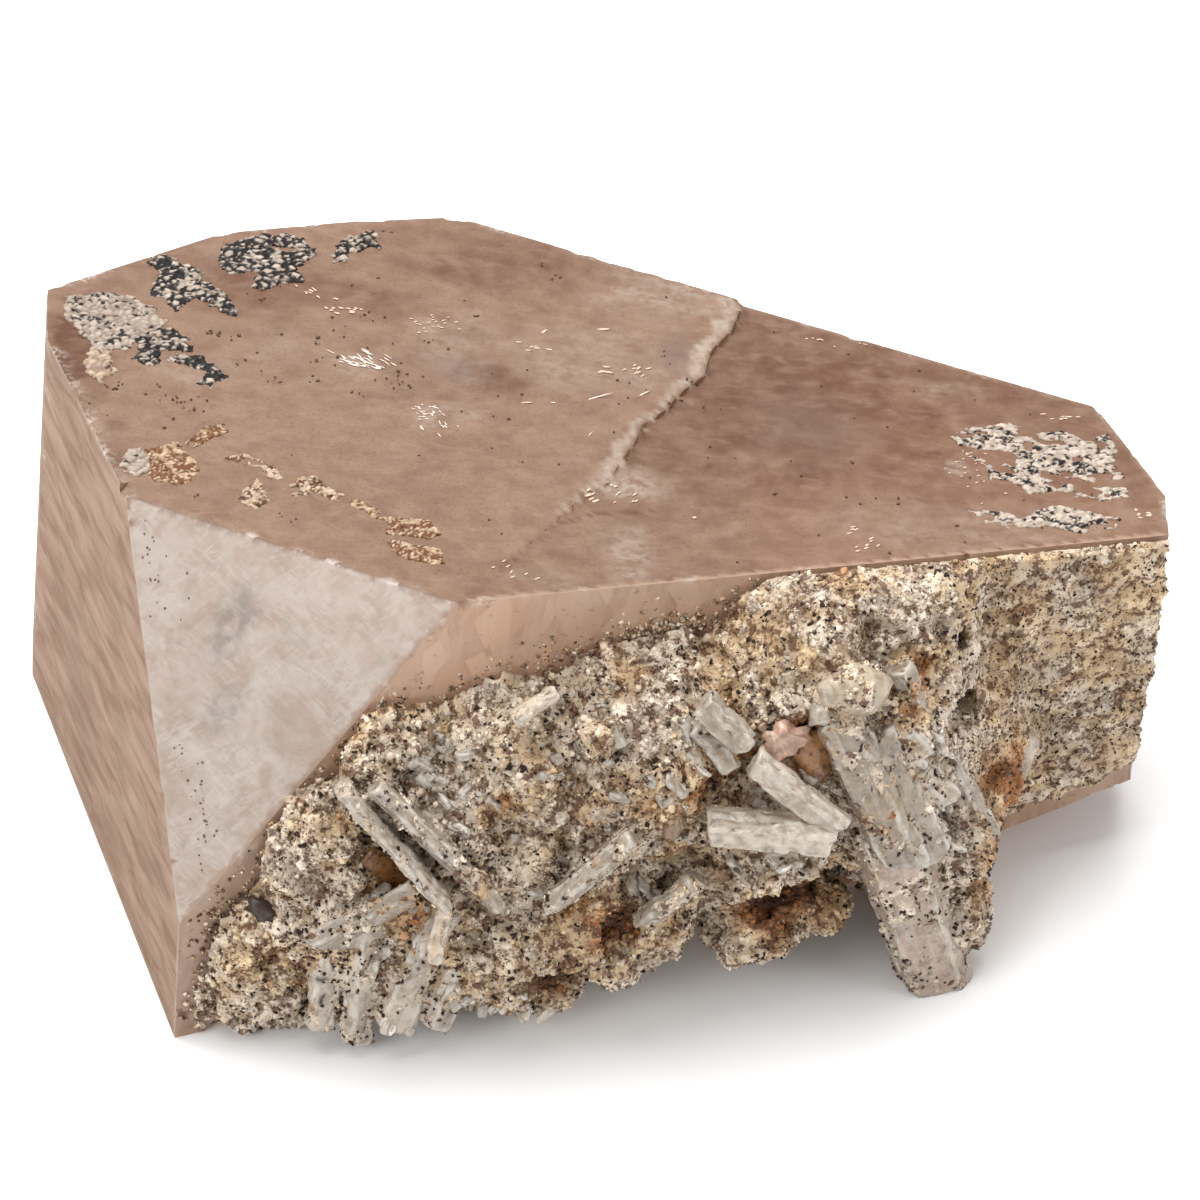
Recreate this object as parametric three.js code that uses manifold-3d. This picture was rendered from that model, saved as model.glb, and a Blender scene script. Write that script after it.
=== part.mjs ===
// A pale brownish-pink topaz crystal lying on its cleavage base, with sugary albite
// grown on its long front wall and thin mineral crusts on its broad top faces.
// Millimetres and degrees, +Z up. The driving sizes are measured from the crystal's
// front bottom tip; the finished part is moved at the end so that its origin is the
// centre of its footprint.

import * as THREE from 'three';
import { ConvexGeometry } from 'three/addons/geometries/ConvexGeometry.js';
import * as BufferGeometryUtils from 'three/addons/utils/BufferGeometryUtils.js';
import Module from 'manifold-3d';

const wasm = await Module();
wasm.setup();

// ---------------------------------------------------------------- driving sizes

const crystalHeart = new THREE.Vector3(22, 20, 12); // point the face distances start from
const lean = 3.2;           // lean of the long axis towards +X
const seatGap = 0.3;        // clearance between the crystal and what sits on it
const crustThickness = 0.35;
const smallestEdge = 0.03;  // slivers finer than this are closed up

// Prism faces run along the leaning axis: direction they look in, distance from the heart
// and, where the foot of the wall spreads, how far it does.
const prismFaces = [
  { azimuth: -72.4, distance: 12.6 },   // long front wall, under the albite
  { azimuth: 198.4, distance: 27.0, flare: 1.1 },   // streaky left wall
  { azimuth: 183.1, distance: 30.45, flare: 1.9 },
  { azimuth: 129.4, distance: 28.75 },
  { azimuth: 109.0, distance: 25.5 },
  { azimuth: 103.6, distance: 24.8 },
  { azimuth: 67.6, distance: 18.5 },   // long back wall
  { azimuth: 19.8, distance: 28.3 },
  { azimuth: -2.0, distance: 29.95 },
];

// Faces that close the prism: tilt is measured from level, 90 is upright.
const topFace = { azimuth: 58.9, tilt: 11.8, distance: 11.95 };
const frostedFace = { azimuth: -113.1, tilt: 62.8, distance: 22.65 };
const baseFace = { azimuth: 0, tilt: 180, distance: 12 };
const brokenCorner = { azimuth: 17.6, tilt: 166.5, distance: 14.8 };

// The foot of the left wall swells a little: the swelling's peak, and where it dies out.
const footSwelling = [
  [-6.65, 16.2, 0], [-9.9, 28.6, 0], [0.4, 0.9, 0], [0.6, 1.2, 9.3], [-2.2, 12.2, 27],
  [-7.2, 26, 26],
];

// The right half of the top is a second, slightly lower growth level.
const stepStart = [14.8, 4.2];          // where the step dies out at the front edge
const stepLine = [                      // ragged edge of the upper level, front to back
  stepStart, [18, 9.6], [21.6, 16], [22.6, 16.9], [23.1, 18.8], [24, 21.2],
  [24.4, 22.9], [25.7, 24.7], [26.4, 26.4], [27.8, 28.6], [28.2, 31.2], [29.4, 33.6],
  [30, 36.4],
];
const lowerLevel = { azimuth: 60.9, tilt: 12.3, distance: 11.74 };

// Chips out of the crystal's edges: place and half-widths.
const chips = [
  { at: [14.9, 4.1, 27.3], size: [0.7, 0.6, 0.9] },
  { at: [13.9, 3.9, 26.2], size: [0.6, 0.5, 0.8] },
  { at: [4.6, 9.3, 28.1], size: [0.9, 0.5, 0.35] },
  { at: [8.6, 7.3, 28.0], size: [0.8, 0.35, 0.3] },
  { at: [11.7, 5.8, 27.9], size: [1.1, 0.35, 0.25] },
  { at: [-2.7, 12.5, 27.9], size: [0.45, 0.9, 0.5] },
  { at: [-6.1, 21.6, 26.6], size: [0.4, 0.8, 0.35] },
  { at: [0.1, -0.1, 1.6], size: [0.8, 0.7, 1.5] },
  { at: [1.6, 0.3, 0.3], size: [0.9, 0.8, 0.9] },
  { at: [52.7, 18.1, 21.2], size: [0.5, 1.3, 0.45] },
  { at: [30.4, 36.6, 20.4], size: [1.6, 0.9, 0.5] },
  { at: [14.3, 43.7, 20.8], size: [1.2, 0.7, 0.6] },
  { at: [0.9, 39.6, 23.1], size: [0.9, 0.6, 0.5] },
];

// The albite is laid out on the front wall: s runs along the wall from the tip,
// up is height, out is distance from the wall.
const wallLength = 55;
const wallHeight = 28;
const gridStep = 1.05;
const coatThickness = 1.05;   // fine-grained skin on the right end of the wall

const mounds = [
  { s: 4.6, up: 4.6, width: 3.4, height: 5.8, out: 2.3 },
  { s: 7.6, up: 8.6, width: 3.4, height: 9.0, out: 3.3 },
  { s: 11.6, up: 17.0, width: 3.0, height: 4.8, out: 3.4 },
  { s: 12.6, up: 7.2, width: 4.6, height: 6.6, out: 4.9 },
  { s: 17.2, up: 5.4, width: 5.6, height: 6.2, out: 6.3 },
  { s: 17.6, up: 13.8, width: 6.4, height: 8.2, out: 5.2 },
  { s: 23.2, up: 7.6, width: 5.6, height: 6.4, out: 6.7 },
  { s: 25.0, up: 15.0, width: 7.0, height: 7.9, out: 6.4 },
  { s: 30.6, up: 9.0, width: 5.6, height: 6.6, out: 7.4 },
  { s: 33.4, up: 17.4, width: 5.2, height: 8.0, out: 6.0 },
  { s: 37.4, up: 12.6, width: 4.8, height: 8.6, out: 8.1 },
  { s: 40.8, up: 7.2, width: 3.4, height: 8.6, out: 8.3 },
  { s: 40.2, up: 16.4, width: 4.8, height: 8.4, out: 4.6 },
  { s: 43.6, up: 10.6, width: 3.0, height: 8.4, out: 4.2 },
  { s: 37.5, up: 22.0, width: 6.5, height: 4.8, out: 2.4 },
];

// Platy albite blades: ends of the long axis as [s, up, out], width, thickness and
// how far the broad side is turned out of the wall.
const blades = [
  { from: [8.1, 19.2, 2.2], to: [13.0, 11.7, 5.2], width: 4.2, thickness: 0.9, turn: 82 },
  { from: [9.7, 19.5, 2.6], to: [15.5, 11.5, 5.4], width: 4.2, thickness: 0.9, turn: 82 },
  { from: [17.2, 22.0, 3.4], to: [19.8, 23.1, 3.1], width: 1.8, thickness: 0.8, turn: 50 },
  { from: [18.5, 11.0, 6.4], to: [23.0, 15.8, 7.2], width: 3.2, thickness: 1.0, turn: 52 },
  { from: [23.4, 8.6, 6.8], to: [26.3, 11.5, 7.5], width: 2.9, thickness: 1.0, turn: 40 },
  { from: [7.9, 11.0, 2.6], to: [6.5, 1.6, 3.1], width: 1.7, thickness: 0.9, turn: 8 },
  { from: [9.7, 11.6, 3.2], to: [8.3, 0.6, 3.8], width: 1.8, thickness: 1.0, turn: -12 },
  { from: [13.1, 9.8, 4.0], to: [10.1, 1.9, 4.5], width: 2.3, thickness: 1.2, turn: 14 },
  { from: [14.7, 7.0, 4.4], to: [12.2, 1.9, 5.2], width: 1.9, thickness: 0.9, turn: -18 },
  { from: [6.6, 7.8, 3.0], to: [12.4, 11.6, 4.4], width: 4.2, thickness: 0.8, turn: 12 },
  { from: [13.1, 11.6, 5.0], to: [12.1, 8.2, 6.1], width: 0.9, thickness: 0.8, turn: 30 },
  { from: [34.0, 20.2, 5.6], to: [37.3, 10.6, 8.8], width: 2.7, thickness: 2.2, turn: 10 },
  { from: [36.2, 18.4, 6.0], to: [39.1, 10.0, 8.4], width: 2.2, thickness: 1.9, turn: -15 },
  { from: [29.4, 18.4, 6.4], to: [33.5, 14.5, 9.1], width: 1.5, thickness: 1.3, turn: 15 },
  { from: [26.7, 14.8, 7.0], to: [33.2, 14.0, 9.1], width: 1.9, thickness: 1.6, turn: 0 },
  { from: [27.0, 22.3, 5.2], to: [28.9, 19.8, 6.8], width: 1.5, thickness: 1.3, turn: 25 },
  { from: [26.6, 20.6, 5.0], to: [28.3, 18.0, 6.4], width: 1.3, thickness: 1.1, turn: -10 },
  { from: [36.4, 13.2, 7.0], to: [39.9, -0.6, 7.9], width: 3.9, thickness: 3.0, turn: 5 },
  { from: [37.7, 21.2, 4.2], to: [42.8, 8.4, 6.0], width: 3.0, thickness: 1.2, turn: 74 },
  { from: [38.0, 15.5, 6.4], to: [40.1, 13.2, 7.6], width: 1.4, thickness: 1.1, turn: 0 },
];

// Rounded lumps: centre and half-widths, same directions.
const lumps = [
  { at: [34.9, 21.2, 5.6], size: [2.2, 1.6, 1.5] },
  { at: [41.3, 3.6, 7.2], size: [1.9, 3.6, 2.1] },
  { at: [46.4, 9.2, 1.3], size: [1.3, 2.0, 1.1] },
  { at: [18.4, 2.9, 5.0], size: [3.0, 1.8, 1.5] },
  { at: [30.0, 4.4, 5.6], size: [3.4, 1.5, 2.6] },
  { at: [33.6, 5.2, 5.4], size: [1.9, 1.3, 2.2] },
  { at: [24.6, 15.8, 6.8], size: [0.9, 0.9, 0.9] },
  { at: [31.2, 18.8, 5.4], size: [0.9, 0.9, 0.8] },
  { at: [21.8, 5.2, 6.6], size: [1.5, 1.4, 1.3] },
  { at: [21.7, 20.6, 4.7], size: [1.3, 1.3, 1.0] },
];

// Hollows between the crystals, and two windows down to the bare topaz.
const hollows = [
  { at: [32.3, 18.9, 8.0], size: [1.3, 1.9, 2.4] },
  { at: [31.5, 7.4, 8.2], size: [2.9, 1.6, 3.0] },
  { at: [22.3, 8.0, 8.0], size: [1.4, 1.6, 1.9] },
  { at: [18.6, 4.6, 7.8], size: [2.3, 1.5, 1.9] },
  { at: [27.6, 19.0, 7.9], size: [1.1, 1.4, 1.6] },
  { at: [10.6, 11.6, 1.6], size: [1.1, 2.5, 3.2] },
  { at: [41.9, 20.3, 1.6], size: [1.1, 1.3, 2.4] },
  { at: [42.2, 16.4, 4.6], size: [0.9, 1.1, 2.2] },
];

const grainCount = 64;        // coarse albite grains standing out of the mass
const grainSize = [0.55, 1.15];

// Crusts on the top faces, each a run of overlapping round patches: [x, y, radius].
const crusts = [
  {
    name: 'grey_crust_left', colour: 0xb9b5af,
    patches: [
      [-5.4, 30.2, 1.9], [-3.2, 29.9, 1.9], [-4.7, 27.8, 1.5], [-4.6, 25.6, 1.1],
      [-4.6, 24.1, 1.3], [-1.8, 35.4, 1.1], [-0.7, 34.2, 1.5], [-1.4, 32.3, 1.3],
      [0.7, 32.6, 1.2], [1.8, 31.3, 0.8], [-2.9, 27.5, 1.2], [-1.2, 27.2, 1.4],
      [-0.1, 25.8, 1.1], [1.1, 24.4, 1.1],
    ],
  },
  {
    name: 'grey_crust_back', colour: 0x8d8a88,
    patches: [[2.2, 37.2, 1.4], [4.2, 38.2, 1.7], [4.8, 36.2, 1.4], [3.4, 35.0, 1.1]],
  },
  {
    name: 'grey_crust_small', colour: 0x8d8a88,
    patches: [[7.8, 38.5, 0.8], [8.8, 40.0, 0.9], [9.5, 40.4, 0.8]],
  },
  {
    name: 'ochre_crust_left', colour: 0xc3a172,
    patches: [[-1.9, 14.6, 1.2], [-0.3, 14.4, 1.4], [-0.3, 16.3, 0.9], [1.2, 18.2, 0.9]],
  },
  {
    name: 'ochre_crust_middle', colour: 0xc3a172,
    patches: [
      [2.9, 15.9, 0.8], [4.4, 15.2, 1.0], [4.1, 13.4, 0.8], [6.8, 14.1, 1.0],
      [5.5, 14.6, 0.6], [8.1, 13.8, 0.9], [9.4, 12.9, 0.6],
    ],
  },
  {
    name: 'ochre_crust_right', colour: 0xc3a172,
    patches: [
      [11.3, 11.4, 0.8], [12.6, 10.9, 0.9], [13.2, 9.4, 0.9], [11.9, 8.9, 0.9],
      [12.9, 7.4, 0.8],
    ],
  },
  {
    name: 'white_crust_right', colour: 0xdcd6d0,
    patches: [
      [43.2, 24.0, 1.5], [45.2, 24.0, 1.8], [47.6, 23.9, 1.9], [49.2, 23.9, 1.3],
      [44.6, 21.8, 1.2], [46.9, 21.6, 1.6], [49.2, 21.2, 1.6],
    ],
  },
  {
    name: 'white_crust_edge', colour: 0xdcd6d0,
    patches: [[43.0, 16.8, 0.7], [44.8, 16.7, 0.9], [46.6, 17.2, 1.1], [48.6, 17.0, 1.0]],
  },
];

// ---------------------------------------------------------------- small helpers

const degrees = Math.PI / 180;
const far = 200;

function seeded(seed) {
  let state = seed >>> 0;
  return () => {
    state = (state + 0x6d2b79f5) >>> 0;
    let mixed = Math.imul(state ^ (state >>> 15), 1 | state);
    mixed = (mixed + Math.imul(mixed ^ (mixed >>> 7), 61 | mixed)) ^ mixed;
    return ((mixed ^ (mixed >>> 14)) >>> 0) / 4294967296;
  };
}

function lookDirection(azimuth, tilt) {
  const level = Math.sin(tilt * degrees);
  return new THREE.Vector3(
    Math.cos(azimuth * degrees) * level,
    Math.sin(azimuth * degrees) * level,
    Math.cos(tilt * degrees),
  );
}

function facePlane({ azimuth, tilt, distance }) {
  const normal = lookDirection(azimuth, tilt);
  return { normal, offset: normal.dot(crystalHeart) + distance };
}

function prismPlane({ azimuth, distance, flare = 0 }) {
  const rise = Math.atan(Math.cos(azimuth * degrees) * Math.tan(lean * degrees));
  return facePlane({ azimuth, tilt: 90 + rise / degrees - flare, distance });
}

function heightOn(plane, x, y) {
  return (plane.offset - plane.normal.x * x - plane.normal.y * y) / plane.normal.z;
}

function toSolid(geometry) {
  const bare = geometry.index ? geometry.toNonIndexed() : geometry.clone();
  bare.deleteAttribute('normal');
  bare.deleteAttribute('uv');
  const merged = BufferGeometryUtils.mergeVertices(bare, 1e-4);
  return new wasm.Manifold(new wasm.Mesh({
    numProp: 3,
    vertProperties: new Float32Array(merged.attributes.position.array),
    triVerts: new Uint32Array(merged.index.array),
  }));
}

function toGeometry(solid) {
  const mesh = solid.simplify(smallestEdge).getMesh();
  const geometry = new THREE.BufferGeometry();
  geometry.setAttribute('position', new THREE.BufferAttribute(mesh.vertProperties, 3));
  geometry.setIndex(new THREE.BufferAttribute(mesh.triVerts, 1));
  geometry.computeVertexNormals();
  return geometry;
}

// The corners of the convex body that a set of planes encloses.
function cornersOf(planes) {
  const corners = [];
  const solver = new THREE.Matrix3();
  for (let i = 0; i < planes.length; i += 1) {
    for (let j = i + 1; j < planes.length; j += 1) {
      for (let k = j + 1; k < planes.length; k += 1) {
        const [a, b, c] = [planes[i], planes[j], planes[k]];
        solver.set(...a.normal, ...b.normal, ...c.normal);
        if (Math.abs(solver.determinant()) < 1e-5) continue;
        const corner = new THREE.Vector3(a.offset, b.offset, c.offset);
        corner.applyMatrix3(solver.invert());
        const outside = planes.some((plane) => plane.normal.dot(corner) > plane.offset + 1e-6);
        if (!outside) corners.push(corner);
      }
    }
  }
  return corners;
}

// Everything on the outer side of a plane, as a big block.
function beyond(plane) {
  const block = new THREE.BoxGeometry(2 * far, 2 * far, far);
  block.translate(0, 0, far / 2);
  const turn = new THREE.Quaternion().setFromUnitVectors(
    new THREE.Vector3(0, 0, 1), plane.normal,
  );
  block.applyQuaternion(turn);
  block.translate(...plane.normal.clone().multiplyScalar(plane.offset));
  return toSolid(block);
}

// A lumpy closed pebble: points thrown on an ellipsoid, wrapped in flat faces.
function pebble(random, count, halfWidths) {
  const points = [];
  for (let i = 0; i < count; i += 1) {
    const height = 1 - (2 * (i + 0.5)) / count;
    const around = i * 2.39996 + random();
    const ring = Math.sqrt(1 - height * height);
    const reach = 0.82 + 0.3 * random();
    points.push(new THREE.Vector3(
      Math.cos(around) * ring * halfWidths[0] * reach,
      Math.sin(around) * ring * halfWidths[1] * reach,
      height * halfWidths[2] * reach,
    ));
  }
  return new ConvexGeometry(points);
}

function biggestPiece(solid) {
  const pieces = solid.decompose();
  return pieces.reduce((best, piece) => (piece.volume() > best.volume() ? piece : best));
}

function smooth(edge) {
  const t = Math.min(Math.max(edge, 0), 1);
  return t * t * (3 - 2 * t);
}

function latticeNoise(u, v, seed) {
  const value = (i, j) => {
    const mixed = Math.sin(i * 127.1 + j * 311.7 + seed * 74.7) * 43758.5453;
    return mixed - Math.floor(mixed);
  };
  const [i, j] = [Math.floor(u), Math.floor(v)];
  const [fu, fv] = [smooth(u - i), smooth(v - j)];
  const low = value(i, j) * (1 - fu) + value(i + 1, j) * fu;
  const high = value(i, j + 1) * (1 - fu) + value(i + 1, j + 1) * fu;
  return 2 * (low * (1 - fv) + high * fv) - 1;
}

// ---------------------------------------------------------------- topaz crystal

const wallPlane = prismPlane(prismFaces[0]);
const topPlane = facePlane(topFace);
const lowerPlane = facePlane(lowerLevel);
const floorPlane = { normal: new THREE.Vector3(0, 0, -1), offset: 0 };

function wholeCrystal() {
  const planes = prismFaces.map(prismPlane);
  planes.push(topPlane, facePlane(frostedFace), facePlane(baseFace), facePlane(brokenCorner));
  return toSolid(new ConvexGeometry(cornersOf(planes)));
}

function upperLevelRemoved() {
  const outline = new THREE.Shape();
  outline.moveTo(...stepLine[0]);
  stepLine.slice(1).forEach((point) => outline.lineTo(...point));
  outline.lineTo(34, 50);
  outline.lineTo(70, 50);
  outline.lineTo(70, -10);
  outline.lineTo(14.8, -10);
  const block = new THREE.ExtrudeGeometry(outline, { depth: 40, bevelEnabled: false });
  return toSolid(block).intersect(beyond(lowerPlane));
}

function topazSolid() {
  const random = seeded(11);
  const swelling = footSwelling.map((point) => new THREE.Vector3(...point));
  let solid = wholeCrystal()
    .add(toSolid(new ConvexGeometry(swelling)))
    .subtract(upperLevelRemoved());
  chips.forEach(({ at, size }) => {
    const chip = pebble(random, 12, size);
    chip.translate(...at);
    solid = solid.subtract(toSolid(chip));
  });
  return biggestPiece(solid);
}

// ---------------------------------------------------------------- albite on the wall

// Wall directions: along the wall, up the wall, out of the wall.
const wallOut = wallPlane.normal.clone();
const wallAlong = new THREE.Vector3(-wallOut.y, wallOut.x, 0).normalize();
const wallUp = new THREE.Vector3().crossVectors(wallOut, wallAlong);
const wallFrame = new THREE.Matrix4().makeBasis(wallAlong, wallUp, wallOut);
wallFrame.setPosition(wallOut.clone().multiplyScalar(wallPlane.offset));

function moundHeight(s, up) {
  let out = 0;
  mounds.forEach((mound) => {
    const reach = Math.hypot((s - mound.s) / mound.width, (up - mound.up) / mound.height);
    if (reach < 1) out = Math.max(out, mound.out * (1 - reach ** 2.6) ** 0.55);
  });
  return out;
}

function coatHeight(s, up) {
  const leftEdge = smooth((s - 33.5 - 0.5 * latticeNoise(s, up / 1.4, 5)) / 2);
  const foot = smooth((up - 0.26 * (s - 42) - 1.2) / 1.5);
  const highOnly = s > 41 ? 1 : smooth((up - 19.5) / 2);
  return coatThickness * leftEdge * foot * highOnly;
}

function albiteHeight(s, up) {
  const mass = moundHeight(s, up);
  const coarse = 1.0 * latticeNoise(s / 2.3, up / 2.1, 1);
  const fine = 0.55 * latticeNoise(s / 1.15, up / 1.15, 2);
  const lumpy = mass > 0.2 ? mass + (coarse + fine) * Math.min(1, mass / 3) : 0;
  const skin = coatHeight(s, up) + 0.22 * latticeNoise(s / 1.3, up / 1.3, 3);
  return Math.max(lumpy, skin > 0.45 ? skin : 0, 0);
}

// The mass as a closed block whose front follows the height over the wall.
function albiteMass() {
  const columns = Math.round((wallLength + 2) / gridStep);
  const rows = Math.round((wallHeight + 2) / gridStep);
  const random = seeded(23);
  const backDepth = -2;
  const points = [];
  const corners = [];
  for (let row = 0; row <= rows; row += 1) {
    for (let column = 0; column <= columns; column += 1) {
      const rim = row === 0 || column === 0 || row === rows || column === columns;
      const shift = rim ? 0 : gridStep * 0.5;
      const s = -1 + column * gridStep + (random() - 0.5) * shift;
      const up = -1 + row * gridStep + (random() - 0.5) * shift;
      points.push(s, up, albiteHeight(s, up));
    }
  }
  const layer = points.length / 3;
  for (let i = 0; i < layer; i += 1) points.push(points[3 * i], points[3 * i + 1], backDepth);
  const at = (row, column) => row * (columns + 1) + column;
  for (let row = 0; row < rows; row += 1) {
    for (let column = 0; column < columns; column += 1) {
      const [a, b] = [at(row, column), at(row, column + 1)];
      const [c, d] = [at(row + 1, column + 1), at(row + 1, column)];
      corners.push(a, b, c, a, c, d);
      corners.push(layer + a, layer + c, layer + b, layer + a, layer + d, layer + c);
    }
  }
  const rim = [];
  for (let column = 0; column < columns; column += 1) rim.push(at(0, column));
  for (let row = 0; row < rows; row += 1) rim.push(at(row, columns));
  for (let column = columns; column > 0; column -= 1) rim.push(at(rows, column));
  for (let row = rows; row > 0; row -= 1) rim.push(at(row, 0));
  rim.forEach((here, index) => {
    const next = rim[(index + 1) % rim.length];
    corners.push(here, layer + here, layer + next, here, layer + next, next);
  });
  const geometry = new THREE.BufferGeometry();
  geometry.setAttribute('position', new THREE.Float32BufferAttribute(points, 3));
  geometry.setIndex(corners);
  return geometry;
}

// A flattened six-sided blade with slanted ends.
function bladeGeometry({ from, to, width, thickness, turn }) {
  const start = new THREE.Vector3(...from);
  const end = new THREE.Vector3(...to);
  const along = end.clone().sub(start);
  const length = along.length();
  along.normalize();
  const across = new THREE.Vector3().crossVectors(along, new THREE.Vector3(0, 0, 1)).normalize();
  across.applyAxisAngle(along, turn * degrees);
  const through = new THREE.Vector3().crossVectors(along, across);
  const section = [[-0.5, -0.12], [-0.3, -0.5], [0.34, -0.5], [0.5, 0.1], [0.3, 0.5], [-0.36, 0.5]];
  const slant = Math.min(0.25 * width, 0.2 * length);
  const points = [];
  section.forEach(([w, t]) => {
    [0, 1].forEach((tip) => {
      const reach = tip * length + (tip ? -1 : 1) * slant * (w + 0.5);
      points.push(start.clone()
        .addScaledVector(along, reach)
        .addScaledVector(across, w * width)
        .addScaledVector(through, t * thickness));
    });
  });
  return new ConvexGeometry(points);
}

function albiteSolid() {
  const random = seeded(37);
  const onWall = (geometry) => toSolid(geometry.applyMatrix4(wallFrame));
  const pieces = [onWall(albiteMass())];
  blades.forEach((blade) => pieces.push(onWall(bladeGeometry(blade))));
  lumps.forEach(({ at, size }) => {
    pieces.push(onWall(pebble(random, 18, size).translate(...at)));
  });
  for (let placed = 0; placed < grainCount;) {
    const s = 3 + random() * 43;
    const up = 1.5 + random() * 22;
    const out = albiteHeight(s, up);
    if (out < 1.2) continue;
    const half = grainSize[0] + (grainSize[1] - grainSize[0]) * random() ** 2;
    const grain = pebble(random, 10, [half, half * (0.7 + 0.5 * random()), half * 0.8]);
    pieces.push(onWall(grain.translate(s, up, out - 0.25 * half)));
    placed += 1;
  }
  let solid = pieces.reduce((whole, piece) => whole.add(piece));
  hollows.forEach(({ at, size }) => {
    solid = solid.subtract(onWall(pebble(random, 22, size).translate(...at)));
  });
  const behindWall = { normal: wallOut.clone().negate(), offset: -wallPlane.offset - seatGap };
  const rightEnd = prismPlane(prismFaces[prismFaces.length - 1]);
  [behindWall, floorPlane, lowerPlane, topPlane, rightEnd].forEach((plane) => {
    solid = solid.subtract(beyond(plane));
  });
  return biggestPiece(solid);
}

// ---------------------------------------------------------------- crusts on the top

function crustSolid(patches, seed) {
  const random = seeded(seed);
  const sides = 7;
  let solid = null;
  patches.forEach(([x, y, radius]) => {
    const rim = [];
    for (let i = 0; i < sides; i += 1) {
      const around = ((i + 0.4 * random()) / sides) * 2 * Math.PI;
      const reach = radius * (0.84 + 0.3 * random());
      rim.push([x + reach * Math.cos(around), y + reach * Math.sin(around)]);
    }
    const points = [];
    rim.forEach(([rimX, rimY]) => {
      const plane = onLowerLevel(x, y) ? lowerPlane : topPlane;
      const seat = heightOn(plane, rimX, rimY) + seatGap;
      points.push(new THREE.Vector3(rimX, rimY, seat));
      const [innerX, innerY] = [x + 0.8 * (rimX - x), y + 0.8 * (rimY - y)];
      const crown = heightOn(plane, innerX, innerY) + seatGap + crustThickness * (0.8 + 0.4 * random());
      points.push(new THREE.Vector3(innerX, innerY, crown));
    });
    const disc = toSolid(new ConvexGeometry(points));
    solid = solid ? solid.add(disc) : disc;
  });
  prismFaces.map(prismPlane).forEach((wall) => {
    solid = solid.subtract(beyond(wall));
  });
  return biggestPiece(solid);
}

function onLowerLevel(x, y) {
  const [startX, startY] = stepLine[0];
  const [endX, endY] = stepLine[stepLine.length - 1];
  return (x - startX) * (endY - startY) - (y - startY) * (endX - startX) > 0;
}

// ---------------------------------------------------------------- the finished part

function namedMesh(name, solid, colour, roughness) {
  const material = new THREE.MeshStandardMaterial({ color: colour, roughness, metalness: 0 });
  const mesh = new THREE.Mesh(toGeometry(solid), material);
  mesh.name = name;
  return mesh;
}

const specimen = new THREE.Group();
specimen.add(namedMesh('topaz_crystal', topazSolid(), 0xb08a72, 0.3));
specimen.add(namedMesh('albite_matrix', albiteSolid(), 0xb5aa98, 0.85));
crusts.forEach(({ name, colour, patches }, index) => {
  specimen.add(namedMesh(name, crustSolid(patches, 51 + index), colour, 0.9));
});

const extent = new THREE.Box3().setFromObject(specimen);
const middle = extent.getCenter(new THREE.Vector3());
specimen.position.set(-middle.x, -middle.y, -extent.min.z);

const topazSpecimen = new THREE.Group();
topazSpecimen.add(specimen);

export default topazSpecimen;
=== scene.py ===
import itertools
import math

import bmesh
import bpy
import numpy as np
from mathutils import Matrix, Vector, kdtree


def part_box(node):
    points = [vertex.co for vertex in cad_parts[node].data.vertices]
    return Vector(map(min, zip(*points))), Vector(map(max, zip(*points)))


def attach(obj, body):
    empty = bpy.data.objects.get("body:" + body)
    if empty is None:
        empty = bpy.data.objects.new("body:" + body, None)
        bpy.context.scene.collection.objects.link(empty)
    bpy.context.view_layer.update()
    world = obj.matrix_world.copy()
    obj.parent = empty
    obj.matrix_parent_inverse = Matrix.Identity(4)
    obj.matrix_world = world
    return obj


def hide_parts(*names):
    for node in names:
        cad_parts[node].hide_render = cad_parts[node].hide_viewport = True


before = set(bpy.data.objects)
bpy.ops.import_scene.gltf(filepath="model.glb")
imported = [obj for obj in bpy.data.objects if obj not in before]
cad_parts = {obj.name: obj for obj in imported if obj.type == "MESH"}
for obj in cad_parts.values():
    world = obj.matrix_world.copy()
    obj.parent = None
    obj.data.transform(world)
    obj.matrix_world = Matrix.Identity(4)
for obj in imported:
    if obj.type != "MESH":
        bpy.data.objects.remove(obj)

mm = 0.001
scene = bpy.context.scene
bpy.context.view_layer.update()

# All shapes below are worked out in millimetres from the crystal's front bottom tip.
frontTip = np.array(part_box("topaz_crystal")[0]) / mm + (10.292, 0.215, 0.0)


def toMetres(points):
    return (np.asarray(points, float) + frontTip) * mm


def fromMetres(points):
    return np.asarray(points, float) / mm - frontTip


def smoothStep(value, low, high):
    t = np.clip((value - low) / (high - low), 0, 1)
    return t * t * (3 - 2 * t)


def latticeValue(i, j, k, seed):
    mixed = np.sin(i * 127.1 + j * 311.7 + k * 74.7 + seed * 19.19) * 43758.5453
    return mixed - np.floor(mixed)


def lumpyNoise(points, size, seed=0):
    # smooth random lumps about `size` across, from -1 to 1
    spot = np.asarray(points, float) / size
    low = np.floor(spot)
    part = spot - low
    part = part * part * (3 - 2 * part)
    total = np.zeros(len(spot))
    for corner in itertools.product((0, 1), repeat=3):
        weight = np.prod(np.where(corner, part, 1 - part), axis=1)
        total += weight * latticeValue(*(low + corner).T, seed)
    return 2 * total - 1


def cloudNoise(points, size, seed=0, layers=3):
    # finer and finer lumps on top of each other
    total = np.zeros(len(points))
    for layer in range(layers):
        total += 0.5 ** layer * lumpyNoise(points, size / 2 ** layer, seed + 7 * layer)
    return total / 1.6


def readRows(items, name, kind=np.float32):
    # one row of three for each item
    flat = np.empty(len(items) * 3, kind)
    items.foreach_get(name, flat)
    return flat.reshape(-1, 3)


def readPoints(mesh):
    # a mesh's corners in millimetres from the tip
    return fromMetres(readRows(mesh.vertices, "co").astype(float))


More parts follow.
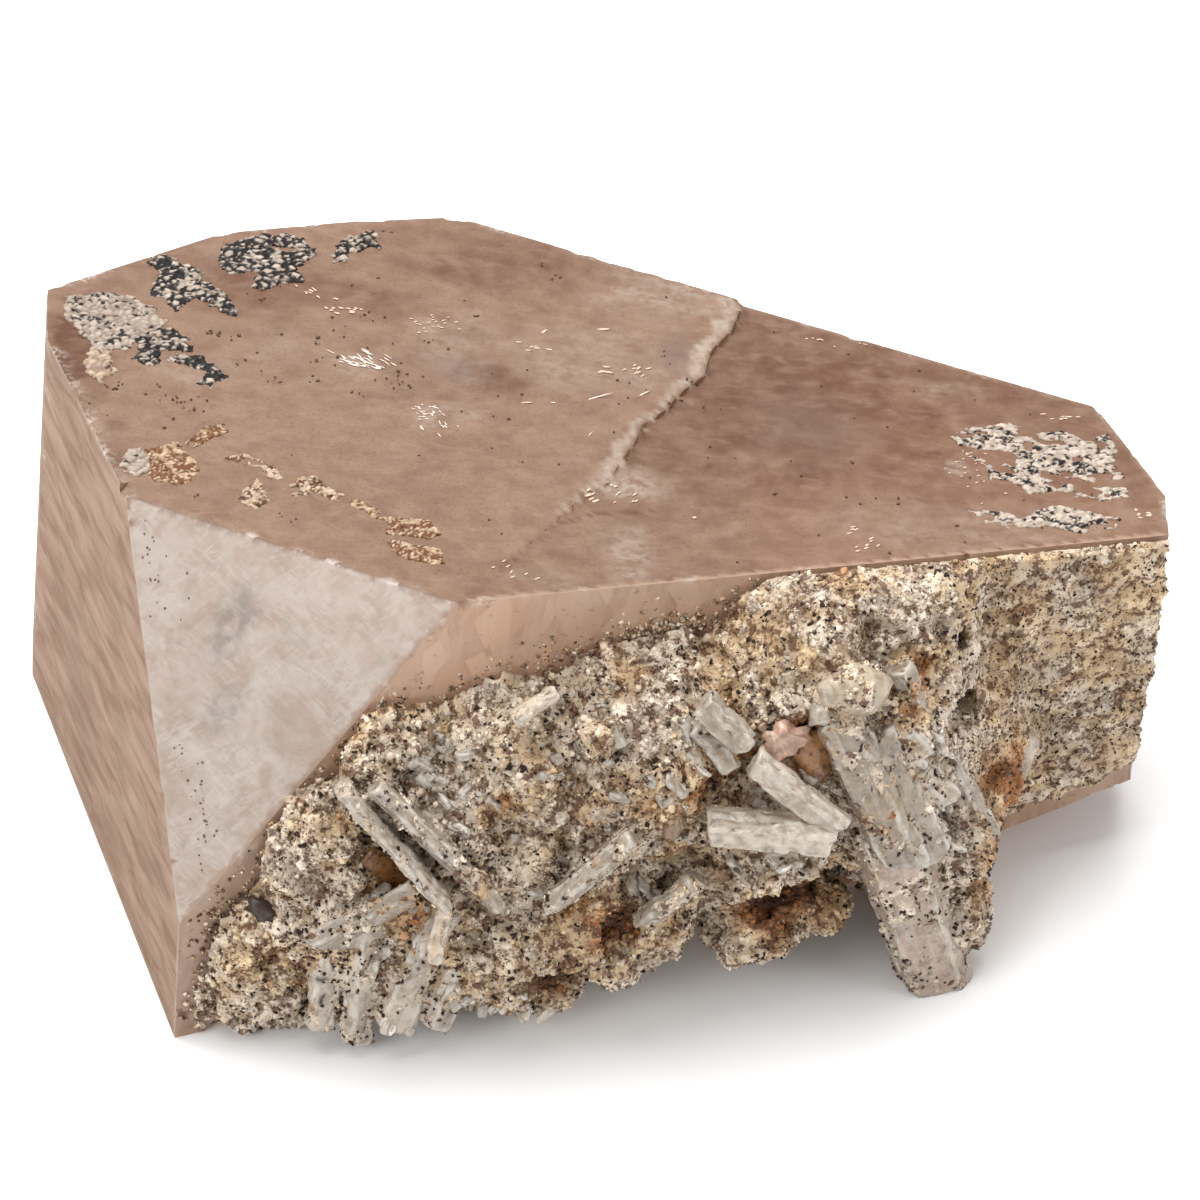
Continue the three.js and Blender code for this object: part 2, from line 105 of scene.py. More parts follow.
def writePoints(mesh, points):
    mesh.vertices.foreach_set("co", toMetres(points).astype(np.float32).ravel())
    mesh.update()


def writeValues(mesh, values):
    # one number per corner under each name
    for name, numbers in values.items():
        made = mesh.attributes.new(name, "FLOAT", "POINT")
        made.data.foreach_set("value", np.asarray(numbers, np.float32))


def unit(vector):
    return vector / np.linalg.norm(vector)


def meshFrom(name, points, corners):
    # points in millimetres from the tip, corners one row of three per triangle
    mesh = bpy.data.meshes.new(name)
    corners = np.asarray(corners, np.int32)
    mesh.vertices.add(len(points))
    mesh.vertices.foreach_set("co", toMetres(points).astype(np.float32).ravel())
    mesh.loops.add(corners.size)
    mesh.loops.foreach_set("vertex_index", corners.ravel())
    mesh.polygons.add(len(corners))
    mesh.polygons.foreach_set("loop_start", np.arange(0, corners.size, 3, dtype=np.int32))
    mesh.update(calc_edges=True)
    return mesh


def joinedMesh(name, parts):
    # parts hold points, triangles and values per point, and become one mesh
    start, points, corners, values = 0, [], [], {}
    for spots, faces, extra in parts:
        points.append(spots)
        corners.append(faces + start)
        for key, value in extra.items():
            values.setdefault(key, []).append(np.broadcast_to(value, len(spots)))
        start += len(spots)
    mesh = meshFrom(name, np.concatenate(points), np.concatenate(corners))
    writeValues(mesh, {key: np.concatenate(value) for key, value in values.items()})
    return mesh


def placeObject(name, mesh, material):
    thing = bpy.data.objects.new(name, mesh)
    scene.collection.objects.link(thing)
    mesh.materials.clear()
    mesh.materials.append(material)
    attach(thing, "root")
    return thing


def recut(mesh, weld=0.0, **settings):
    # a mesh cut again by a Remesh modifier with these settings
    blank = bpy.data.objects.new("blank", mesh)
    scene.collection.objects.link(blank)
    if weld:
        blank.modifiers.new("weld", "WELD").merge_threshold = weld * mm
    grid = blank.modifiers.new("grid", "REMESH")
    for name, value in settings.items():
        setattr(grid, name, value)
    view = bpy.context.evaluated_depsgraph_get()
    made = bpy.data.meshes.new_from_object(blank.evaluated_get(view))
    bpy.data.objects.remove(blank)
    return made


def mergeCorners(mesh, reach, flatAngle=0.0):
    # corners within reach become one, and faces that lie flat together one face
    body = bmesh.new()
    body.from_mesh(mesh)
    bmesh.ops.remove_doubles(body, verts=body.verts, dist=reach * mm)
    if flatAngle:
        bmesh.ops.dissolve_limit(body, angle_limit=flatAngle, verts=body.verts, edges=body.edges)
    body.to_mesh(mesh)
    body.free()


def bodyRows(body):
    # the corners and triangles of a body that is then let go
    points = np.array([v.co for v in body.verts])
    faces = np.array([[v.index for v in f.verts] for f in body.faces])
    body.free()
    return points, faces


def placesShare(points, places, ragged=0.0, start=0.4, end=1.2):
    # 0 to 1, strongest in the middle of each place, by its reach across and back or up
    share = np.zeros(len(points))
    for (x, y), (reachX, reachY), strength in places:
        away = np.hypot((points[:, 0] - x) / reachX, (points[:, 1] - y) / reachY) + ragged
        share = np.maximum(share, strength * (1 - smoothStep(away, start, end)))
    return share


crystalHeart = np.array((22.0, 20.0, 12.0))
crystalLean = 3.2

# name: azimuth, tilt (None stands the face along the leaning axis), distance, flare
crystalFaces = {
    "wall": (-72.4, None, 12.6, 0),
    "streaky": (198.4, None, 27.0, 1.1),
    "leftBack": (183.1, None, 30.45, 1.9),
    "backA": (129.4, None, 28.75, 0),
    "backB": (109.0, None, 25.5, 0),
    "backC": (103.6, None, 24.8, 0),
    "back": (67.6, None, 18.5, 0),
    "rightBack": (19.8, None, 28.3, 0),
    "rightEnd": (-2.0, None, 29.95, 0),
    "top": (58.9, 11.8, 11.95, 0),
    "lower": (60.9, 12.3, 11.74, 0),
    "frosted": (-113.1, 62.8, 22.65, 0),
    "base": (0, 180, 12, 0),
    "broken": (17.6, 166.5, 14.8, 0),
}


def facePlane(azimuth, tilt, distance, flare):
    around = math.radians(azimuth)
    if tilt is None:
        rise = math.atan(math.cos(around) * math.tan(math.radians(crystalLean)))
        tilt = 90 + math.degrees(rise) - flare
    level = math.sin(math.radians(tilt))
    normal = np.array((
        math.cos(around) * level, math.sin(around) * level, math.cos(math.radians(tilt)),
    ))
    return normal, normal @ crystalHeart + distance


planes = {name: facePlane(*face) for name, face in crystalFaces.items()}


def heightOn(face, x, y):
    normal, offset = planes[face]
    return (offset - normal[0] * x - normal[1] * y) / normal[2]


stage = {
    "target": (22.118, 34.235, 0.0),      # mm from the front tip
    "distance": 379.3,                    # mm
    "elevation": 43.0,                    # degrees above level
    "lens": 198.0,
    "floorHalf": 3.0,                     # metres
    "floorColour": (0.86, 0.86, 0.86, 1),
    "worldStrength": 0.5,
}


def makeCamera():
    target = frontTip + stage["target"]
    rise = math.radians(stage["elevation"])
    back = np.array((0, -math.cos(rise), math.sin(rise)))
    data = bpy.data.cameras.new("camera")
    data.lens = stage["lens"]
    data.sensor_width = 36
    data.clip_start = 0.01
    data.clip_end = 10
    camera = bpy.data.objects.new("camera", data)
    camera.location = (target + back * stage["distance"]) * mm
    camera.rotation_euler = (math.radians(90 - stage["elevation"]), 0, 0)
    scene.collection.objects.link(camera)
    scene.camera = camera


def makeFloor():
    half = stage["floorHalf"]
    mesh = bpy.data.meshes.new("floor")
    corners = [(-half, -half, 0), (half, -half, 0), (half, half, 0), (-half, half, 0)]
    mesh.from_pydata(corners, [], [(0, 1, 2, 3)])
    floor = bpy.data.objects.new("floor", mesh)
    scene.collection.objects.link(floor)
    material = bpy.data.materials.new("paper")
    material.use_nodes = True
    shader = material.node_tree.nodes["Principled BSDF"]
    shader.inputs["Base Color"].default_value = stage["floorColour"]
    shader.inputs["Roughness"].default_value = 0.9
    mesh.materials.append(material)


# name: place, what it looks at, size (all mm), power in watts
softboxes = {
    "overhead": ((-60, 120, 420), (0, 0, 0), (420, 420), 3.6),
    "frontLeft": ((-300, -260, 240), (0, 0, 10), (260, 260), 0.8),
    "rightSide": ((360, -120, 160), (0, 0, 10), (200, 260), 0.5),
}


def makeLights():
    world = bpy.data.worlds.new("studio")
    world.use_nodes = True
    glow = world.node_tree.nodes["Background"]
    glow.inputs["Color"].default_value = (1, 1, 1, 1)
    glow.inputs["Strength"].default_value = stage["worldStrength"]
    scene.world = world
    for name, (place, aim, size, power) in softboxes.items():
        data = bpy.data.lights.new(name, "AREA")
        data.shape = "RECTANGLE"
        data.size, data.size_y = size[0] * mm, size[1] * mm
        data.energy = power
        lamp = bpy.data.objects.new(name, data)
        lamp.location = np.array(place) * mm
        look = Vector(np.array(aim, float) - np.array(place, float))
        lamp.rotation_euler = look.to_track_quat("-Z", "Y").to_euler()
        scene.collection.objects.link(lamp)
    scene.view_settings.view_transform = "Standard"


makeCamera()
makeFloor()
makeLights()
print("camera, floor and light are set")


class NodeBench:
    # lays out a material's nodes with short calls
    def __init__(self, name):
        self.material = bpy.data.materials.new(name)
        self.material.use_nodes = True
        self.nodes = self.material.node_tree.nodes
        self.links = self.material.node_tree.links
        self.shader = self.nodes["Principled BSDF"]
        self.output = self.nodes["Material Output"]
        self.place = self.add("ShaderNodeTexCoord", output="Object")

    def feed(self, socket, value):
        if isinstance(value, bpy.types.NodeSocket):
            self.links.new(value, socket)
        elif value is not None:
            socket.default_value = value

    def add(self, kind, inputs=None, output=0, **settings):
        # a node with its inputs and settings, by the name or number of each
        node = self.nodes.new(kind)
        for name, value in settings.items():
            setattr(node, name, value)
        for name, value in (inputs or {}).items():
            self.feed(node.inputs[name], value)
        return node.outputs[output]

    def attribute(self, name):
        return self.add("ShaderNodeAttribute", output="Fac", attribute_name=name)

    def math(self, kind, a, b, clamp=False):
        return self.add("ShaderNodeMath", {0: a, 1: b}, operation=kind, use_clamp=clamp)

    def along(self, direction):
        # how far along a direction a spot is, in metres
        sides = {0: self.place, 1: tuple(direction)}
        return self.add("ShaderNodeVectorMath", sides, "Value", operation="DOT_PRODUCT")

    def stretched(self, size, turn=(0, 0, 0), place=None):
        # coordinates divided by a size in mm along each axis, after a turn in degrees
        turned = self.add("ShaderNodeMapping", {
            "Vector": place or self.place, "Rotation": [math.radians(angle) for angle in turn],
        })
        scale = [1 / (side * mm) for side in size]
        return self.add("ShaderNodeMapping", {"Vector": turned, "Scale": scale})

    def noise(self, size, detail=3, place=None, warp=0.0, rough=0.55):
        # size is a number in mm, or None where place is already scaled
        return self.add("ShaderNodeTexNoise", {
            "Vector": place or self.place, "Scale": 1 if size is None else 1 / (size * mm),
            "Detail": detail, "Roughness": rough, "Distortion": warp,
        }, "Fac")

    def cells(self, place):
        return self.add("ShaderNodeTexVoronoi", {"Vector": place, "Scale": 1}, "Color")

    def range(self, value, low, high, toLow=0.0, toHigh=1.0):
        return self.add("ShaderNodeMapRange", {
            "Value": value, "From Min": low, "From Max": high, "To Min": toLow, "To Max": toHigh,
        })

    def mix(self, share, a, b):
        return self.add("ShaderNodeMix", {0: share, 6: a, 7: b}, 2, data_type="RGBA")

    def combine(self, *parts):
        return self.add("ShaderNodeCombineXYZ", dict(enumerate(parts)))

    def bump(self, size, detail, depth):
        # a fine noise raised by a depth in mm
        height = {"Height": self.noise(size, detail), "Distance": depth * mm}
        return self.add("ShaderNodeBump", height)

    def patches(self, shade, tint, size, low, high, share=1.0, detail=3, **noise):
        # the tint lies over a shade where a noise runs from low to high
        cover = self.range(self.noise(size, detail, **noise), low, high, 0.0, share)
        return self.mix(cover, shade, tint)

    def broken(self, name, noise, *limits):
        # an attribute broken up by a noise
        return self.math("MULTIPLY", self.attribute(name), self.range(noise, *limits))

    def finish(self, shade, roughness, normal=None):
        self.feed(self.shader.inputs["Base Color"], shade)
        self.feed(self.shader.inputs["Roughness"], roughness)
        self.feed(self.shader.inputs["Normal"], normal)
        return self.material


def colour(red, green, blue):
    # a colour as seen, 0 to 255, in the renderer's own scale
    return tuple((c / 255) ** 2.2 for c in (red, green, blue)) + (1.0,)


topaz = {
    "octree": 8,
    "octreeScale": 0.75,
    "merge": 0.12,         # mm, corners of the grid closer than this become one
    "stepRise": 1.2,       # mm, how far apart top and lower are kept when sorting corners
    "reach": 1.6,          # mm, how far a corner goes back to its face at most
    "edgeWear": 0.16,      # mm taken off a fresh edge at most
    "sharpAngle": 24,      # degrees
    "ior": 1.62,
    "transmission": 0.55,
    "specular": 0.16,
    "absorbColour": (0.62, 0.42, 0.28, 1),
    "absorbDensity": 19.0,
    "roughness": (0.3, 0.58),              # clear, frosted
    "streakyRoughness": 0.5,               # added on the left faces
    "bump": (0.3, 5, 0.03),                # size in mm, detail, depth in mm
}

stepLine = (
    (14.8, 4.2), (18, 9.6), (21.6, 16), (22.6, 16.9), (23.1, 18.8), (24, 21.2),
    (24.4, 22.9), (25.7, 24.7), (26.4, 26.4), (27.8, 28.6), (28.2, 31.2), (29.4, 33.6),
    (30, 36.4),
)


def besideStep(x, y):
    # how far right of the ragged step line a point is, in mm; negative is left of it
    line = np.array(stepLine)
    stepX = np.interp(y, line[:, 1], line[:, 0])
    return x - stepX


def topazMesh():
    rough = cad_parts["topaz_crystal"].data.copy()
    mergeCorners(rough, 0.001, 0.01)
    return recut(
        rough, mode="SHARP", octree_depth=topaz["octree"], scale=topaz["octreeScale"],
        use_remove_disconnected=False,
    )


def nearestFaces(points):
    # the face each point lies on, and how far inside the next face it is
    names = list(planes)
    depth = np.stack([planes[n][1] - points @ planes[n][0] for n in names])
    top, lower = names.index("top"), names.index("lower")
    right = besideStep(points[:, 0], points[:, 1]) > 0
    depth[top] += np.where(right, topaz["stepRise"], 0)
    depth[lower] += np.where(right, 0, topaz["stepRise"])
    order = np.sort(np.abs(depth), axis=0)
    return np.array(names)[np.abs(depth).argmin(0)], order[1]


def inFace(points, face):
    # level and upslope coordinates on a face
    normal = planes[face][0]
    along = unit(np.array((-normal[1], normal[0], 0)))
    up = np.cross(normal, along)
    return np.stack((points @ along, points @ up, points @ normal), axis=1)


def stretchedNoise(points, angle, length, width, seed):
    # streaks of a length and width, leaning by an angle from level
    turn = math.radians(angle)
    streak = points[:, 0] * math.cos(turn) + points[:, 1] * math.sin(turn)
    across = points[:, 1] * math.cos(turn) - points[:, 0] * math.sin(turn)
    return lumpyNoise(np.stack((streak / length, across / width, points[:, 2]), axis=1), 1, seed)


def faceRelief(points, face):
    flat = inFace(points, face)
    if face == "frosted":
        warp = flat + 1.3 * np.stack((
            lumpyNoise(flat, 3.1, 3), lumpyNoise(flat, 3.1, 4), np.zeros(len(flat)),
        ), axis=1)
        return 0.02 * stretchedNoise(warp, 25, 2.0, 0.6, 5) + 0.02 * lumpyNoise(warp, 0.5, 6)
    if face in ("top", "lower"):
        return 0.03 * cloudNoise(flat, 5.5, 14) + 0.016 * cloudNoise(flat, 1.0, 15, 2)
    if face in ("streaky", "leftBack"):
        fine = 0.015 * stretchedNoise(flat, 12, 1.6, 0.4, 9)
        return 0.04 * stretchedNoise(flat, 9, 4.2, 0.8, 8) + fine
    if face == "wall":
        return 0.07 * stretchedNoise(flat, 78, 2.6, 0.9, 11) + 0.04 * lumpyNoise(flat, 0.8, 12)
    return 0.05 * stretchedNoise(flat, 88, 6, 0.9, 17) + 0.03 * lumpyNoise(flat, 1.1, 18)


# Places on the top, seen from above: middle, reach across and back in mm, strength.
# Cloudy ones:
veils = {
    "ridgeEnd": ((25.2, 36.7), (4.6, 3.6), 0.5),
    "ridgeStreaks": ((22.4, 29.4), (5.8, 3.6), 0.4),
    "leftVeil": ((14.2, 29.8), (2.9, 4.6), 0.3),
    "leftHaze": ((0.4, 24.6), (2.6, 1.6), 0.3),
    "middleHaze": ((4.6, 28.6), (3.4, 2.0), 0.2),
    "greyVeil": ((14.6, 22.4), (2.0, 1.6), 0.4),
    "frostWedge": ((13.0, 22.0), (1.1, 1.8), 0.9),
    "pinkFlecks": ((12.8, 31.6), (1.0, 1.1), 0.6),
    "lowerVeil": ((23.9, 17.1), (2.2, 2.0), 0.75),
    "frontVeil": ((23.6, 10.1), (1.5, 3.8), 0.5),
    "nearCorner": ((19.0, 7.2), (2.4, 0.9), 0.45),
    "backStreak": ((41.3, 29.6), (2.6, 1.1), 0.4),
    "frontHaze": ((41.5, 15.2), (8.6, 2.6), 0.35),
    "pinkGrains": ((41.4, 21.3), (1.0, 2.0), 0.7),
    "whiteFlake": ((9.2, 26.8), (1.4, 1.7), 0.45),
}

# places that look dark and deep
deepPlaces = {
    "leftCorner": ((-6.4, 26.0), (2.3, 8.0), 0.85),
    "leftEdge": ((-3.4, 16.0), (1.4, 4.6), 0.35),
    "leftBack": ((2.0, 34.4), (6.2, 4.2), 0.42),
    "backEdge": ((15.5, 38.8), (7.6, 3.6), 0.4),
    "ridgeShade": ((9.0, 33.6), (5.0, 1.8), 0.35),
    "darkPatch": ((16.3, 26.7), (2.6, 2.0), 0.4),
    "darkField": ((34.0, 26.5), (7.0, 7.6), 0.3),
    "redBack": ((44.6, 30.6), (4.2, 2.0), 0.15),
}

# grey smudges, on the top and the frosted face
smudges = {
    "frostSmudge": ((3.1, 7.0), (1.9, 0.9), 0.75),
    "frostSmudgeLow": ((2.7, 4.9), (1.6, 0.6), 0.5),
    "ridgeSmudge": ((26.2, 30.6), (1.2, 2.2), 0.5),
    "leftSmudge": ((14.0, 27.2), (1.6, 1.8), 0.35),
    "rightField": ((34.0, 24.0), (4.0, 5.0), 0.3),
}


def raggedShare(points, places, seed):
    # as placesShare, with ragged borders
    return placesShare(points, places.values(), 0.5 * cloudNoise(points, 2.2, seed), 0.35, 1.15)


def ledgeShare(points):
    # the pale broken band along the left of the step, wider towards the back; chips along the
    # crack, with a painted reflection off it
    beside, y = besideStep(points[:, 0], points[:, 1]), points[:, 1]
    width = np.interp(y, (12, 15, 21, 24, 30, 36), (0.2, 0.5, 0.9, 0.6, 1.0, 1.3))
    width *= 0.75 + 0.5 * lumpyNoise(points, 1.1, 24)
    band = smoothStep(beside, -width - 0.2, -width) * (beside < 0.05)
    return band * smoothStep(y, 12.5, 14.5) * (0.75 + 0.25 * lumpyNoise(points, 0.6, 25))


def snapToFaces(mesh):
    # corners the grid has cut short go back onto their face, and slivers are closed
    points = readPoints(mesh)
    face, _ = nearestFaces(points)
    for name, (normal, offset) in planes.items():
        short = offset - points @ normal
        here = (face == name) & (np.abs(short) < topaz["reach"])
        if name in ("top", "lower"):
            here &= np.abs(besideStep(points[:, 0], points[:, 1])) > 0.8
        points[here] += short[here, None] * normal
    for name, (normal, offset) in planes.items():
        if name != "lower":
            points -= np.maximum(points @ normal - offset, 0)[:, None] * normal
    writePoints(mesh, points)
    mergeCorners(mesh, topaz["merge"])


def shapeTopaz(mesh):
    # relief on each face and worn edges; gives the unworn corners, their faces and insets
    snapToFaces(mesh)
    points = readPoints(mesh)
    face, inset = nearestFaces(points)
    moved = points.copy()
    hold = smoothStep(inset, 0.1, 1.0)
    for name, (normal, _) in planes.items():
        here = face == name
        if name != "base" and here.any():
            moved[here] += (hold[here] * faceRelief(points[here], name))[:, None] * normal
    wear = smoothStep(cloudNoise(points, 0.9, 21), 0.1, 0.8) * (1 - smoothStep(inset, 0.05, 0.4))
    inward = crystalHeart - points
    inward /= np.linalg.norm(inward, axis=1)[:, None]
    onFloor = points[:, 2] < 0.4
    moved += inward * (topaz["edgeWear"] * wear * ~onFloor)[:, None]
    moved[:, 2] = np.maximum(moved[:, 2], 0)
    writePoints(mesh, moved)
    mesh.shade_smooth()
    mesh.set_sharp_from_angle(angle=math.radians(topaz["sharpAngle"]))
    return points, face, inset


def fromFaces(points, names):
    # how far inside the nearest of these faces
    return np.min([planes[n][1] - points @ planes[n][0] for n in names], axis=0)


def deepShare(points, face, beside):
    # how dark and deep the top looks, with a painted shadow along the foot of the step
    lower = face == "lower"
    deep = 0.16 + 0.12 * cloudNoise(points, 5, 22) + raggedShare(points, deepPlaces, 23)
    front = 12.5 + 0.14 * points[:, 0] - points[:, 1]
    deep += lower * (0.42 - 0.24 * smoothStep(front, -3, 3))
    # painted shadow on the lower face at the foot of the step
    footShadow = smoothStep(beside, 0.0, 0.1) * (1 - smoothStep(beside, 0.15, 0.5)) * lower
    footShadow *= smoothStep(points[:, 1], 6, 9)
    return np.where((face == "top") | lower, deep, 0.2) + 0.35 * footShadow


def chipsAndGlintShare(points, face, inset):
    # pale chips along the fresh edges, partly a painted edge highlight, and a fainter pale band on
    # the top beside the left faces
    chipsAndGlint = 1 - smoothStep(inset, 0.08, 0.45)
    chipsAndGlint *= smoothStep(cloudNoise(points, 1.6, 28), 0.1, 0.5)
    fromSide = fromFaces(points, ("streaky", "leftBack")) + 0.5 * cloudNoise(points, 1.4, 33)
    flaky = (1 - smoothStep(fromSide, 0.3, 0.9)) * (face == "top")
    return np.maximum(chipsAndGlint, 0.3 * flaky * (points[:, 1] < 26)) * (face != "base")


rustCrack = ((20, 22, 25.2), (12.6, 13.9, 14.6))      # x and y along a crack in the top


def rustShare(points, upper):
    rust = 1 - smoothStep(fromFaces(points, ("wall",)), 0.1, 0.35)
    rust *= smoothStep(points[:, 0], 30, 36) * upper
    beyond = np.abs(points[:, 1] - np.interp(points[:, 0], *rustCrack))
    inReach = (points[:, 0] > rustCrack[0][0]) & (points[:, 0] < rustCrack[0][-1])
    return np.maximum(rust, 0.6 * (beyond < 0.12) * inReach * upper)


def spreadTopazValues(mesh, points, face, inset):
    upper = (face == "top") | (face == "lower")
    haze = raggedShare(points, veils, 26) * (0.7 + 0.6 * lumpyNoise(points * (0.5, 1, 1), 0.7, 27))
    flat = np.zeros((len(points), 2))
    for name in planes:
        here = face == name
        flat[here] = inFace(points[here], name)[:, :2]
    writeValues(mesh, {
        "deep": deepShare(points, face, besideStep(points[:, 0], points[:, 1])),
        "haze": np.clip(np.where(upper, haze, 0), 0, 1),
        "ledge": ledgeShare(points) * (face == "top"),
        "chipsAndGlint": chipsAndGlintShare(points, face, inset),
        "rust": rustShare(points, upper),
        "smudge": raggedShare(points, smudges, 29) * (upper | (face == "frosted")),
        "isTop": upper, "isFrosted": face == "frosted", "isWall": face == "wall",
        "isStreaky": np.isin(face, ("streaky", "leftBack")),
        "faceU": flat[:, 0], "faceV": flat[:, 1],
    })


# what is seen in the clear crystal, 0 to 255; chip and rim are partly painted edge highlights,
# ledge partly a painted reflection, and the light and dark streaks painted internal reflections
topazColours = {
    "pinkBrown": (177, 141, 116), "deepBrown": (118, 75, 51), "mottle": (104, 72, 56),
    "cloud": (204, 172, 150), "veil": (210, 190, 174), "greySmudge": (142, 120, 110),
    "ledge": (222, 204, 186), "rust": (118, 70, 44), "chip": (244, 226, 214),
    "side": (184, 150, 128), "sideDark": (150, 114, 92),
    "frost": (210, 184, 166), "whiteFrost": (238, 220, 206), "feather": (250, 236, 226),
    "pinkFrost": (200, 164, 144), "frostSmudge": (166, 156, 150), "greyFrost": (190, 180, 166),
    "rim": (250, 232, 222),
    "streakDark": (164, 122, 94), "streak": (208, 172, 144), "fineStreak": (234, 208, 188),
    "slantStreak": (222, 190, 164), "dullStreak": (168, 136, 112),
    "block": (186, 151, 126), "paleBlock": (226, 192, 166), "blockCloud": (218, 184, 158),
    "blockMark": (146, 104, 76),
}
seen = {name: colour(*values) for name, values in topazColours.items()}


def crystalTopShade(bench):
    # pinkish brown seen into, with a fine dark mottle, cloudy veils and a pale broken ledge of
    # chips and painted reflection
    uneven = bench.range(bench.noise(1.4, 6), 0.3, 0.7, -0.26, 0.26)
    deep = bench.math("ADD", bench.attribute("deep"), uneven)
    shade = bench.mix(deep, seen["pinkBrown"], seen["deepBrown"])
    shade = bench.patches(shade, seen["mottle"], 0.16, 0.5, 0.68, 0.34)
    wide = bench.stretched((1.5, 0.9, 0.9))
    shade = bench.patches(shade, seen["cloud"], None, 0.5, 0.72, 0.28, 5, place=wide, warp=0.6)
    shade = bench.mix(bench.broken("haze", bench.noise(0.5, 5), 0.35, 0.6), shade, seen["veil"])
    shade = bench.mix(bench.attribute("smudge"), shade, seen["greySmudge"])
    ledge = bench.broken("ledge", bench.noise(0.5, 3), 0.3, 0.6, 0.4, 0.95)
    return bench.mix(ledge, shade, seen["ledge"])


def onFace(bench, turn, length, width):
    # coordinates on each face, turned by an angle from level and scaled to streaks
    flat = bench.combine(
        bench.math("MULTIPLY", bench.attribute("faceU"), mm),
        bench.math("MULTIPLY", bench.attribute("faceV"), mm),
    )
    return bench.stretched((length, width, 1), (0, 0, -turn), flat)


def crystalFrostShade(bench):
    # soft frosting with faint feathery etching both ways and grey smudges
    cloud = bench.range(bench.noise(3.0, 5, warp=1.0), 0.35, 0.65)
    frost = bench.mix(cloud, seen["frost"], seen["whiteFrost"])
    for turn, length, reach in ((-28, 1.5, 2.6), (46, 1.2, 3.1)):
        feather = bench.noise(None, 4, place=onFace(bench, turn, length, 0.32), warp=1.4)
        here = bench.range(bench.noise(reach, 2), 0.4, 0.6, 0.1, 0.6)
        share = bench.math("MULTIPLY", here, bench.range(feather, 0.46, 0.62))
        frost = bench.mix(share, frost, seen["feather"])
    frost = bench.patches(frost, seen["pinkFrost"], 0.9, 0.55, 0.68, 0.35, 4)
    smudge = bench.broken("smudge", bench.noise(0.8, 5, warp=1), 0.35, 0.6)
    frost = bench.mix(smudge, frost, seen["frostSmudge"])
    frost = bench.patches(frost, seen["greyFrost"], 1.6, 0.56, 0.7, 0.4, 4, warp=0.8)
    # a bright line along its top edge: worn chips and a painted edge highlight
    normal, offset = planes["top"]
    below = bench.math("SUBTRACT", float(offset + normal @ frontTip) * mm, bench.along(normal))
    waver = bench.range(bench.noise(0.9, 4), 0.35, 0.65, -0.15 * mm, 0.15 * mm)
    rim = bench.range(bench.math("ADD", below, waver), 0.14 * mm, 0.28 * mm, 0.85, 0.0)
    return bench.mix(rim, frost, seen["rim"])


def crystalStreakShade(bench):
    # streaks inside the clear left side, running with its top edge; their light and dark bands are
    # painted internal reflections
    streaks = bench.noise(None, 5, place=onFace(bench, 9, 5.0, 1.1), warp=0.6)
    tone = bench.mix(bench.range(streaks, 0.36, 0.64), seen["streakDark"], seen["streak"])
    for name, turn, length, width, low, high, share, warp in (
        ("fineStreak", 14, 2.2, 0.24, 0.6, 0.74, 0.5, 0.4),
        ("slantStreak", -38, 2.6, 0.6, 0.58, 0.7, 0.3, 0.6),
    ):
        lines = onFace(bench, turn, length, width)
        tone = bench.patches(tone, seen[name], None, low, high, share, place=lines, warp=warp)
    return bench.patches(tone, seen["dullStreak"], 5, 0.5, 0.7, 0.5)


def crystalWallShade(bench):
    # blocky growth steps
    tone = bench.mix(bench.cells(onFace(bench, 80, 2.4, 0.8)), seen["block"], seen["paleBlock"])
    cloudy = onFace(bench, 76, 1.8, 0.6)
    tone = bench.patches(
        tone, seen["blockCloud"], None, 0.42, 0.62, 0.6, 5, place=cloudy, warp=0.8,
    )
    return bench.patches(tone, seen["blockMark"], 0.4, 0.62, 0.7, 0.6, 4)


def topazMaterial():
    bench = NodeBench("topazGlass")
    shade = bench.mix(bench.range(bench.noise(2.4, 5), 0.35, 0.65), seen["side"], seen["sideDark"])
    for name, made in (
        ("isTop", crystalTopShade), ("isFrosted", crystalFrostShade),
        ("isStreaky", crystalStreakShade), ("isWall", crystalWallShade),
    ):
        shade = bench.mix(bench.attribute(name), shade, made(bench))
    shade = bench.mix(bench.attribute("rust"), shade, seen["rust"])
    # pale chips on the edges, partly a painted edge highlight
    chips = bench.broken("chipsAndGlint", bench.noise(0.35, 3), 0.45, 0.6)
    shade = bench.mix(chips, shade, seen["chip"])
    dull = bench.math("ADD", bench.attribute("isFrosted"), bench.attribute("haze"), clamp=True)
    roughness = bench.math(
        "ADD", bench.range(dull, 0, 1, *topaz["roughness"]),
        bench.math("MULTIPLY", bench.attribute("isStreaky"), topaz["streakyRoughness"]),
    )
    bench.shader.inputs["IOR"].default_value = topaz["ior"]
    bench.shader.inputs["Transmission Weight"].default_value = topaz["transmission"]
    bench.shader.inputs["Specular IOR Level"].default_value = topaz["specular"]
    inside = bench.nodes.new("ShaderNodeVolumeAbsorption")
    inside.inputs["Color"].default_value = topaz["absorbColour"]
    inside.inputs["Density"].default_value = topaz["absorbDensity"]
    bench.links.new(inside.outputs[0], bench.output.inputs["Volume"])
    return bench.finish(shade, roughness, bench.bump(*topaz["bump"]))


crystalMesh = topazMesh()
spreadTopazValues(crystalMesh, *shapeTopaz(crystalMesh))
crystalPiece = placeObject("topazCrystal", crystalMesh, topazMaterial())
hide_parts("topaz_crystal")
print("topaz crystal has", len(crystalMesh.polygons), "faces")


# Places on the wall are [along it from the tip, height, distance out of it].
wallOut, wallOffset = planes["wall"]
wallAlong = unit(np.array((-wallOut[1], wallOut[0], 0)))
wallUp = np.cross(wallOut, wallAlong)
wallAxes = np.stack((wallAlong, wallUp, wallOut))


def offWall(places):
    return np.asarray(places, float) @ wallAxes + wallOut * wallOffset


def onWall(points):
    return (np.asarray(points, float) - wallOut * wallOffset) @ wallAxes.T


